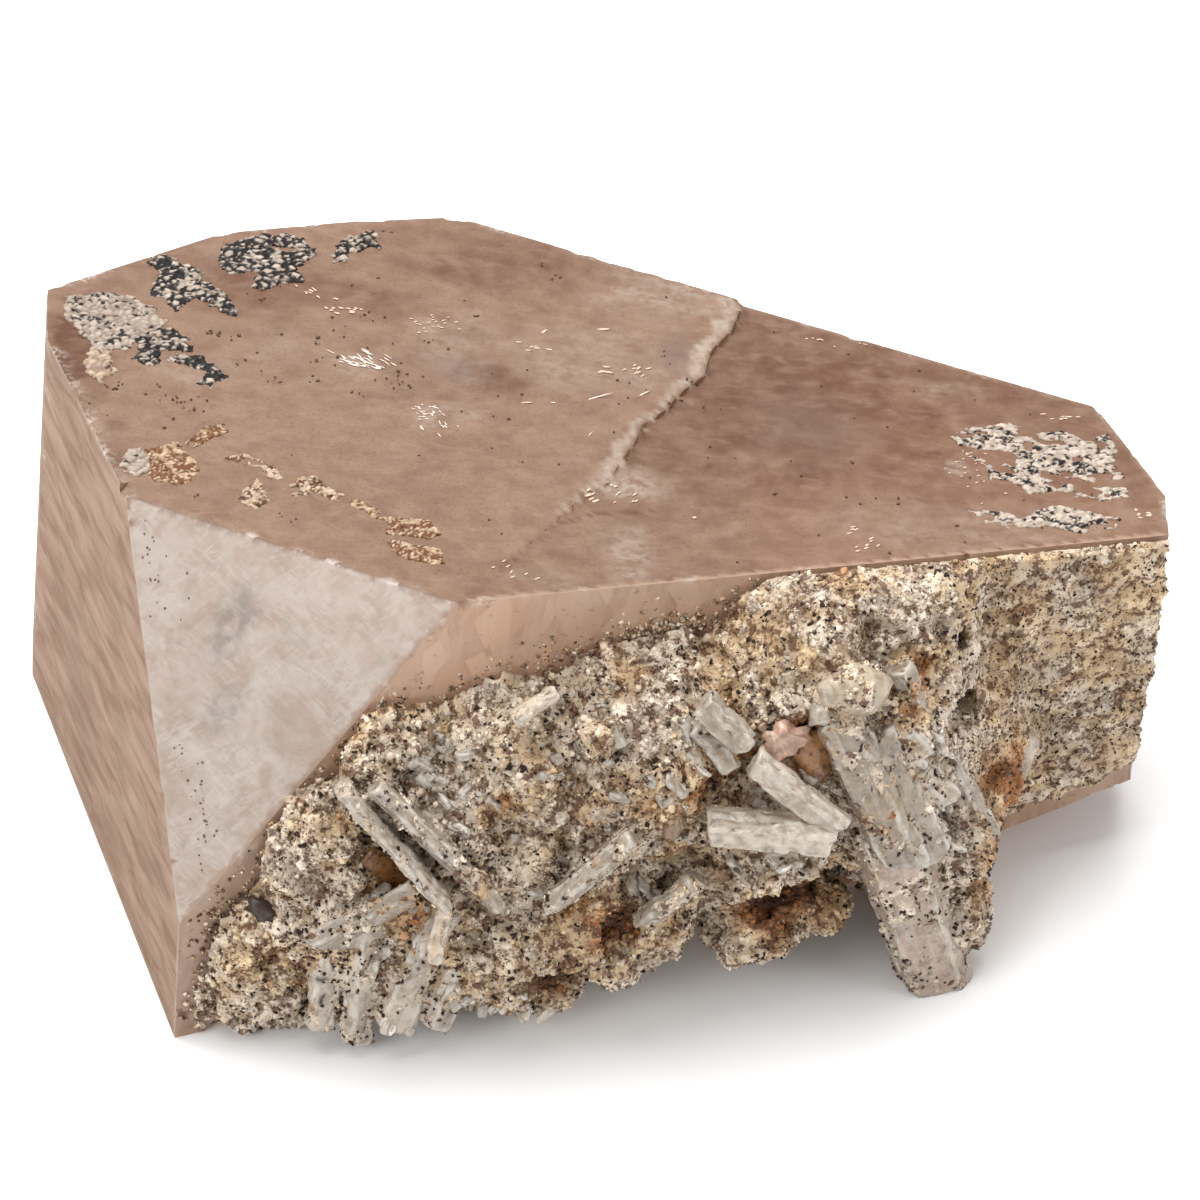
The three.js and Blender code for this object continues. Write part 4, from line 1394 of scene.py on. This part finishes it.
# Outlines of the crust patches, seen from above.
crustOutlines = {
    "pale": (
        (-7.1, 31.3), (-5.2, 32.2), (-3.7, 31.9), (-2.4, 31.2), (-1.4, 29.6), (-1.7, 28.1),
        (-3, 27.4), (-3.2, 26.2), (-4.2, 26), (-3.7, 24), (-4.6, 22.8), (-5.5, 23.7),
        (-5.5, 25.4), (-5.1, 26.6), (-6, 27.5), (-6.9, 29.1),
    ),
    "backBranch": (
        (-2.9, 36.4), (-2, 37), (-1.1, 35.8), (0, 35.6), (0.8, 34), (2, 32.5), (2.5, 30.6),
        (1.5, 30.9), (0.5, 32), (-0.4, 31.7), (-1, 30.7), (-1.7, 31.9), (-2.5, 32.2),
        (-2.5, 33.7), (-2.1, 35), (-2.9, 35.3),
    ),
    "frontBranch": (
        (-3.3, 28), (-2.3, 29), (-1.1, 29), (-0.1, 27.9), (0.3, 26.3), (1.4, 25.8),
        (2.1, 24.3), (1.3, 23.2), (0.5, 23.4), (0.9, 24.7), (-0.2, 25.2), (-1, 25.5),
        (-2.1, 24.9), (-3.3, 25.3), (-2.7, 26.4),
    ),
    "backPatch": (
        (0.8, 36.4), (1.1, 38.2), (2.6, 39.3), (4.3, 40.1), (6, 39.9), (6.3, 37.9),
        (5.5, 36.5), (5.8, 35), (4.5, 34.6), (3.6, 33.4), (2.8, 33.9), (2.9, 35.6), (1.8, 35.2),
    ),
    "smallPatch": (
        (7.1, 38.5), (7.9, 40.2), (9, 41.2), (10, 41), (9.8, 39.4), (8.9, 38.8), (8, 37.5),
        (7.3, 37.4),
    ),
    "whiteChip": (
        (-3.2, 15.6), (-2.4, 16.6), (-1.6, 16), (-1.4, 14.5), (-2.0, 13.6), (-2.8, 14.4),
    ),
    "ochreHead": (
        (-1.9, 16.6), (-0.8, 17.2), (0, 17.6), (0.4, 16.4), (1.0, 15.6), (0.9, 14.2),
        (0.2, 13.0), (-0.9, 13.4), (-1.6, 13.8), (-1.5, 15.2),
    ),
    "ochreTwig": ((0.2, 17.4), (0.9, 19), (2.2, 19.8), (2.4, 18.9), (1.5, 17.8), (0.6, 16.6)),
    "ochreArc": (
        (2.2, 16.2), (3.4, 16.9), (4.3, 16.2), (5.3, 15.7), (5.5, 14.6), (4.7, 14.6),
        (4.3, 15.4), (3.2, 15.6),
    ),
    "ochreLobe": ((4.1, 14.6), (4.6, 13.7), (4.9, 12.2), (4.2, 11.3), (3.3, 12.2), (3.3, 13.3)),
    "ochreBow": (
        (5.7, 13.9), (6.3, 15.2), (7.3, 15.4), (7.9, 14.4), (8.9, 13.6), (8.3, 12.7),
        (7.1, 13.4), (6.3, 12.4), (5.6, 12.8), (6.5, 13.8),
    ),
    "ochreLink": ((8.8, 13.4), (9.8, 13.2), (10.7, 12.2), (10.4, 11.2), (9.7, 12.2), (9, 12.6)),
    "ochreRight": (
        (10.6, 11.7), (11.7, 11.9), (13.2, 11.7), (13.9, 10.6), (13.2, 10.0), (11.9, 10.2),
        (10.9, 9.9), (10.9, 10.8),
    ),
    "ochreTail": ((10.9, 9.6), (12.3, 9.5), (13.9, 9.1), (14.3, 7.6), (13.0, 7.5), (11.5, 8.4)),
    "lace": (
        (41.1, 24.5), (42.5, 25.7), (44.5, 26.5), (45.8, 25.7), (47.3, 26.1), (48.8, 25.5),
        (49.8, 26.3), (50.3, 24.7), (49.8, 23), (50.8, 21.8), (50.5, 19.9), (49.1, 19.1),
        (47.6, 19.3), (46.7, 19.9), (45.1, 19.3), (44.1, 20.4), (43.1, 20.6), (42.8, 22),
        (41.7, 23),
    ),
    "laceStrip": (
        (41.6, 17.2), (42.9, 17.6), (44.5, 16.8), (46.7, 18.6), (48.6, 17.8), (50, 17.5),
        (49.7, 16.2), (47.6, 15.7), (46, 16.1), (43.9, 15.6), (42.3, 16.1),
    ),
}

# piece: nodes it stands for, slot, patches with the look of each
crusts = {
    "speckledCrust": (
        ("grey_crust_left", "grey_crust_back", "grey_crust_small"), "speckled_crust",
        {"pale": "pale", "backBranch": "speckled", "frontBranch": "speckled",
         "backPatch": "speckled", "smallPatch": "speckled", "whiteChip": "chip"},
    ),
    "ochreCrust": (
        ("ochre_crust_left", "ochre_crust_middle", "ochre_crust_right"), "ochre_crust",
        {"ochreHead": "ochre", "ochreTwig": "ochre", "ochreArc": "cream", "ochreLobe": "cream",
         "ochreBow": "cream", "ochreLink": "ochre", "ochreRight": "ochre", "ochreTail": "ochre"},
    ),
    "whiteCrust": (
        ("white_crust_right", "white_crust_edge"), "white_crust",
        {"lace": "lace", "laceStrip": "lace"},
    ),
}

# look: blob size, stretch, gaps, tone, cream or rust share, black between the blobs (black specks
# and painted shadow)
crustLooks = {
    "pale": (0.42, 1.1, -0.8, 0.38, 0.03, 0.42),
    "speckled": (0.5, 1.15, -0.55, 0.4, 0.0, 0.76),
    "chip": (0.5, 1.2, -0.95, 0.46, 0.0, 0.05),
    "ochre": (0.27, 1.1, -0.5, 0.46, 0.56, 0.7),
    "cream": (0.27, 1.1, -0.5, 0.5, 0.36, 0.6),
    "lace": (0.34, 1.5, -0.3, 0.6, 0.0, 0.52),
}

# in mm, but ragged is a share of the blob size and pitStretch of the pit size
crustShape = {
    "gap": 0.085, "thick": 0.16, "rim": 0.25, "sunk": 0.04, "ragged": 0.72, "bumps": 0.03,
    "bend": 0.2, "pitSize": 0.24, "pitStretch": 1.2, "margin": 0.4,
}

# Loose dark specks on the top: place, how many, spread in mm.
looseSpecks = (
    ((1.1, 29.1), 4, 0.3), ((1.8, 28.7), 3, 0.3), ((2.4, 28.7), 2, 0.2), ((3.7, 32.3), 3, 0.4),
    ((4.8, 24.7), 4, 0.25), ((6.7, 24.8), 4, 0.2), ((7.4, 29.2), 7, 0.5), ((6.9, 26.6), 3, 0.4),
    ((7.3, 27.5), 2, 0.3), ((9.0, 23.6), 2, 0.2), ((-1.0, 21.8), 10, 0.9), ((0.0, 22.0), 6, 0.5),
    ((2.6, 25.7), 5, 0.6), ((-5.3, 19.9), 4, 0.4), ((0.6, 20.7), 3, 0.3), ((9.9, 41.0), 3, 0.3),
    ((10.9, 26.0), 12, 0.6), ((15.2, 32.6), 2, 0.1), ((12.9, 29.7), 3, 0.2), ((13.8, 29.0), 2, 0.2),
    ((19.6, 37.6), 3, 0.2), ((18.9, 39.1), 2, 0.2), ((11.4, 25.6), 4, 0.4), ((27.1, 28.0), 3, 0.2),
    ((25.3, 30.1), 4, 0.4), ((5.8, 11.1), 4, 0.4), ((9.2, 32.0), 5, 0.6), ((-4.0, 22.6), 9, 0.6),
    ((20.0, 24.0), 30, 9.0), ((36.0, 22.0), 44, 8.0), ((4.0, 22.0), 24, 7.0),
)

# Small dark specks on the frosted face, seen from above.
frostSpecks = (
    ((-1.3, 10.4), 9, 0.35), ((-0.9, 9.4), 8, 0.4), ((0.4, 8.2), 4, 0.4), ((0.2, 4.3), 5, 0.2),
    ((1.2, 2.8), 8, 0.25), ((1.3, 2.0), 8, 0.3), ((1.3, 1.3), 5, 0.25), ((0.8, 3.4), 5, 0.3),
)

# White slivers and pale flecks, flakes in the skin and painted glints off cracks inside: place,
# run, length, width, how many, spread.
whiteSlivers = (
    ((9.2, 27.0), (0.8, -0.6), 0.5, 0.06, 46, (0.75, 0.45)),
    ((12.7, 22.6), (0.9, -0.4), 0.22, 0.05, 26, (0.45, 0.5)),
    ((13.6, 21.2), (0.5, -0.85), 0.4, 0.05, 10, (0.5, 0.7)),
    ((21.9, 25.3), (0.92, 0.4), 2.5, 0.1, 1, (0, 0)),
)
paleFlecks = (
    ((8.4, 32.2), (0.9, -0.3), 0.35, 0.12, 12, (0.7, 0.4)),
    ((6.3, 34.0), (0.6, -0.8), 0.35, 0.1, 6, (0.4, 0.3)),
    ((12.8, 31.8), (0.9, 0.2), 0.22, 0.07, 20, (0.7, 0.6)),
    ((18.2, 24.2), (1, 0.05), 0.7, 0.1, 1, (0, 0)),
    ((19.6, 24.4), (1, 0), 0.3, 0.09, 1, (0, 0)),
    ((24.5, 26.1), (0.8, 0.6), 0.9, 0.11, 1, (0, 0)),
    ((22.3, 32.5), (1, 0), 0.8, 0.14, 1, (0, 0)),
    ((18.9, 31.8), (0.7, 0.7), 0.6, 0.1, 2, (0.1, 0.1)),
    ((22.6, 28.3), (1, 0.05), 0.7, 0.14, 3, (0.2, 0.2)),
    ((24.3, 28.5), (0.8, 0.6), 0.4, 0.1, 9, (0.3, 0.3)),
    ((18.5, 30.0), (1, 0), 0.4, 0.09, 6, (0.8, 0.3)),
    ((21.6, 21.5), (0.5, 0.8), 0.5, 0.06, 1, (0, 0)),
    ((21.7, 15.8), (0.8, 0.5), 0.4, 0.16, 6, (0.3, 0.3)),
    ((22.9, 16.8), (1, 0.1), 0.3, 0.14, 2, (0.1, 0.1)),
    ((23.4, 15.8), (0.8, 0.6), 0.3, 0.1, 6, (0.4, 0.4)),
    ((27.1, 14.2), (1, 0), 0.25, 0.14, 1, (0, 0)),
    ((36.2, 12.9), (0.8, 0.5), 0.3, 0.1, 9, (0.4, 0.5)),
    ((35.6, 14.4), (0.9, 0.2), 0.25, 0.09, 4, (0.3, 0.2)),
    ((17.7, 7.5), (0.7, 0.6), 0.35, 0.1, 7, (0.6, 0.4)),
    ((34.9, 33.6), (0.9, -0.3), 0.3, 0.07, 7, (0.9, 0.2)),
    ((46.8, 27.4), (1, 0.1), 0.35, 0.12, 7, (0.8, 0.2)),
    ((51.2, 18.0), (1, 0), 0.3, 0.13, 8, (0.4, 0.2)),
    ((42.0, 21.3), (0.9, 0.2), 0.2, 0.07, 22, (0.7, 1.4)),
)


def onTopAt(x, y):
    # the height of the top, on whichever side of the step
    return np.where(besideStep(x, y) > 0, heightOn("lower", x, y), heightOn("top", x, y))


def insideOutline(x, y, outline):
    inside = np.zeros(len(x), bool)
    for (aX, aY), (bX, bY) in zip(outline, outline[1:] + outline[:1]):
        if aY != bY:
            crossing = (aY > y) != (bY > y)
            inside ^= crossing & (x < aX + (y - aY) * (bX - aX) / (bY - aY))
    return inside


def flatGrains(x, y, halves, turn, random):
    # low nuggets lying on the top; halves are half-length, half-width and half-thickness
    zero = np.zeros(len(x))
    c, s = np.cos(turn), np.sin(turn)
    turns = np.stack((c, -s, zero, s, c, zero, zero, zero, zero + 1), axis=1).reshape(-1, 3, 3)
    spots = np.stack((x, y, onTopAt(x, y) + 0.04 + 0.3 * halves[2]), axis=1)
    return grainCloud(spots, np.stack(halves, axis=1), random, turns=turns)


def cellsAround(x, y, size, stretch, seed):
    # uneven cells: how far each spot is from a border, and a chance value for its cell
    placeX, placeY = x / (size * stretch), y / size
    first, second, value = np.full(len(x), 9.0), np.full(len(x), 9.0), np.zeros(len(x))
    for stepX, stepY in itertools.product((-1, 0, 1), repeat=2):
        cellX, cellY = np.floor(placeX) + stepX, np.floor(placeY) + stepY
        away = np.hypot(
            cellX + latticeValue(cellX, cellY, 0, seed) - placeX,
            cellY + latticeValue(cellX, cellY, 0, seed + 5) - placeY,
        )
        closer = away < first
        second = np.where(closer, first, np.minimum(second, away))
        value = np.where(closer, latticeValue(cellX, cellY, 0, seed + 9), value)
        first = np.minimum(first, away)
    return second - first, value


def closedSheet(rows, columns, covered):
    # triangles of a thin closed layer over the covered spots of a grid
    spot = np.arange(rows * columns).reshape(rows, columns)
    quads = np.stack((spot[:-1, :-1], spot[:-1, 1:], spot[1:, 1:], spot[1:, :-1]), axis=-1)
    quads = quads.reshape(-1, 4)
    a, b, c, d = quads[covered[quads].all(axis=1)].T
    under = rows * columns
    start, end = np.concatenate((a, b, c, d)), np.concatenate((b, c, d, a))
    border = ~np.isin(end * under + start, start * under + end)
    p, q = start[border], end[border]
    return np.concatenate([np.stack(corners, axis=1) for corners in (
        (a, b, c), (a, c, d), (a + under, c + under, b + under), (a + under, d + under, c + under),
        (q, p, p + under), (q, p + under, q + under),
    )])


def crustCover(x, y, flat, outline, size, holes):
    # how far inside the ragged outline and the clumps a spot is, in rims, and the clumps
    corners = np.array(outline)
    ends = zip(corners, np.roll(corners, -1, axis=0))
    inward = np.min([segmentDistance(flat[:, :2], a, b) for a, b in ends], axis=0)
    inward *= np.where(insideOutline(x, y, tuple(outline)), 1, -1)
    ragged = cloudNoise(flat, 1.1, 91) + 0.8 * cloudNoise(flat, 0.35, 92)
    inward += crustShape["ragged"] * size * ragged
    clumps = cloudNoise(flat * (0.6, 1, 1), 0.8, 93)
    return np.minimum(inward / crustShape["rim"], (clumps - holes) / 0.25), clumps


def crustPart(outline, look, seed):
    # a thin layer of rounded blobs with dark pits between, ragged at its outline; the blobs are
    # painted paler in the middle and darker at the edge as shade, and the dark between them is
    # partly black specks, partly painted shadow
    size, stretch, holes, tone, stain, black = crustLooks[look]
    low = np.min(outline, axis=0) - crustShape["margin"]
    high = np.max(outline, axis=0) + crustShape["margin"]
    columns, rows = (np.arange(a, b, crustShape["gap"]) for a, b in zip(low, high))
    x, y = (axis.ravel() for axis in np.meshgrid(columns, rows))
    flat = np.stack((x, y, np.zeros(len(x))), axis=1)
    cover, clumps = crustCover(x, y, flat, outline, size, holes)
    faces = closedSheet(len(rows), len(columns), cover > 0)
    used, faces = np.unique(faces, return_inverse=True)

    bend = crustShape["bend"] * cloudNoise(flat, 0.5, 94)
    border, value = cellsAround(x + bend, y + bend, size, stretch, seed)
    blob = smoothStep(border, 0.0, 0.4)
    height = crustShape["thick"] * smoothStep(cover, 0, 1) * (0.3 + 0.7 * blob)
    height = height + crustShape["bumps"] * lumpyNoise(flat, 0.2, 95)
    z = onTopAt(x, y)
    points = np.concatenate((
        np.stack((x, y, z + np.maximum(height, 0.01)), axis=1),
        np.stack((x, y, z - crustShape["sunk"]), axis=1),
    ))

    # dark between the blobs: black specks and painted shadow
    patchy = smoothStep(cloudNoise(flat, 0.6, seed + 4) + 2.2 * black - 1.3, 0, 0.15)
    gap = 0.26 + 0.2 * black + 0.2 * lumpyNoise(flat, 0.25, seed + 6)
    between = patchy * smoothStep(gap - border, 0.0, 0.1)
    pitShape = crustShape["pitSize"], crustShape["pitStretch"]
    pitBorder, pitValue = cellsAround(x - bend, y + bend, *pitShape, seed + 3)
    pits = smoothStep(pitValue, 0.98 - 0.4 * black, 1.0 - 0.4 * black)
    pits = pits * smoothStep(pitBorder, 0.1, 0.2)
    uneven = 0.3 * (value - 0.5)
    stained = 0.3 * (1 - blob) * (stain > 0.3) + 0.35 * (y < 26) * (look == "pale")
    # each blob paler in its middle and darker at its edge: painted shade
    values = {
        "tone": np.clip(tone + uneven + 0.3 * (blob - 0.7) + 0.1 * clumps, 0, 1),
        "stain": np.clip(stain + uneven + stained, 0, 1),
        "dark": np.maximum(between, pits),
    }
    values = {name: np.tile(v, 2)[used] for name, v in values.items()}
    return points[used], faces.reshape(-1, 3), values


def scattered(at, spread, count, random):
    # spots strewn around a place
    return (middle + reach * random.normal(size=count) for middle, reach in zip(at, spread))


def looseParts(random):
    x, y = [], []
    for at, count, spread in looseSpecks:
        atX, atY = scattered(at, (spread, spread), count, random)
        x.append(atX)
        y.append(atY)
    x, y = np.concatenate(x), np.concatenate(y)
    inside = insideOutline(x, y, topRim)
    x, y = x[inside], y[inside]
    half = random.uniform(0.03, 0.075, len(x))
    halves = (half * random.uniform(1, 2, len(x)), half, 0.6 * half)
    points, faces = flatGrains(x, y, halves, random.uniform(0, 3, len(x)), random)
    return [(points, faces, {"tone": 0.2, "stain": 0.35, "dark": 0.85})]


def frostParts(random):
    spots = np.concatenate([
        np.array(at) + spread * random.normal(size=(count, 2)) for at, count, spread in frostSpecks
    ])
    spots = np.column_stack((spots, heightOn("frosted", *spots.T)))
    spots = spots[fromFaces(spots, ("wall",)) > 0.2]
    shape = random.uniform(0.03, 0.08, (len(spots), 3))
    points, faces = grainCloud(spots, shape, random)
    return [(points, faces, {"tone": 0.3, "stain": 0.35, "dark": 0.7})]


# the top's rim, a little inside its edges
topRim = (
    (14.8, 4.8), (-2.2, 12.0), (-7.2, 26.0), (-7.6, 32.0), (-0.5, 38.9), (6.8, 42.6), (13.9, 43.0),
    (29.9, 35.8), (49.0, 28.5), (52.0, 20.3), (51.8, 16.9),
)


crustColours = {
    "pale": ((96, 82, 72), (200, 185, 170)), "ochre": ((120, 82, 50), (208, 186, 158)),
}


def crustMaterial():
    bench = NodeBench("crustGrain")
    tone, stain, dark = (bench.attribute(n) for n in ("tone", "stain", "dark"))
    kinds = shades(bench, tone, crustColours)
    rusty = bench.range(stain, 0.15, 0.7)
    shade = bench.mix(rusty, kinds["pale"], kinds["ochre"])
    shade = bench.patches(shade, colour(134, 112, 96), 0.22, 0.48, 0.66, 0.35, 4)
    pits = bench.mix(rusty, colour(20, 13, 10), colour(98, 62, 34))
    shade = bench.mix(dark, shade, pits)
    bench.shader.inputs["Specular IOR Level"].default_value = 0.3
    roughness = bench.range(bench.noise(0.5, 2), 0.3, 0.7, 0.4, 0.75)
    return bench.finish(shade, roughness, bench.bump(0.1, 3, 0.03))


def flakeAndGlintParts(flakesAndGlints, bright, random):
    # thin slivers in the skin of the crystal, pale flakes and painted glints off cracks inside; a
    # lone one keeps its length and run
    parts = []
    for at, (runX, runY), length, width, count, spread in flakesAndGlints:
        x, y = scattered(at, spread, count, random)
        turn, long, many = math.atan2(runY, runX), 0.5 * length, count > 1
        turn = turn + (0.2 * random.normal(size=count) if many else np.zeros(1))
        long = long * (random.uniform(0.6, 1.3, count) if many else np.ones(1))
        wide = 0.5 * width * random.uniform(0.8, 1.3, count)
        halves = (long, wide, np.full(count, 0.02))
        points, faces = flatGrains(x, y, halves, turn, random)
        parts.append((points, faces, {"bright": bright}))
    return parts


flakeAndGlintColours = {
    "white": ((236, 224, 214), (206, 182, 166)), "pale": ((210, 182, 162), (188, 156, 134)),
}


def flakeAndGlintMaterial():
    bench = NodeBench("crystalFlakeAndGlint")
    kinds = shades(bench, bench.range(bench.noise(0.3, 3), 0.35, 0.65), flakeAndGlintColours)
    shade = bench.mix(bench.attribute("bright"), kinds["pale"], kinds["white"])
    return bench.finish(shade, bench.range(bench.noise(0.2, 2), 0.3, 0.7, 0.25, 0.45))


grainShade = crustMaterial()
crustRandom = np.random.default_rng(97)
for name, (nodes, slot, patches) in crusts.items():
    parts = [
        crustPart(crustOutlines[patch], look, 7 * number)
        for number, (patch, look) in enumerate(patches.items())
    ]
    if name == "speckledCrust":
        parts += looseParts(crustRandom) + frostParts(crustRandom)
    crustMesh = joinedMesh(name, parts)
    crustPiece = placeObject(name, crustMesh, grainShade)
    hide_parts(*nodes)
    print(name, "has", len(crustMesh.polygons), "faces")
flakesAndGlints = flakeAndGlintParts(whiteSlivers, 1.0, crustRandom) + flakeAndGlintParts(paleFlecks, 0.15, crustRandom)
flakeAndGlintMesh = joinedMesh("crystalFlakesAndGlints", flakesAndGlints)
flakeAndGlintMesh.shade_smooth()
placeObject("crystalFlakesAndGlints", flakeAndGlintMesh, flakeAndGlintMaterial())
print("crystal flakes have", len(flakeAndGlintMesh.polygons), "faces")
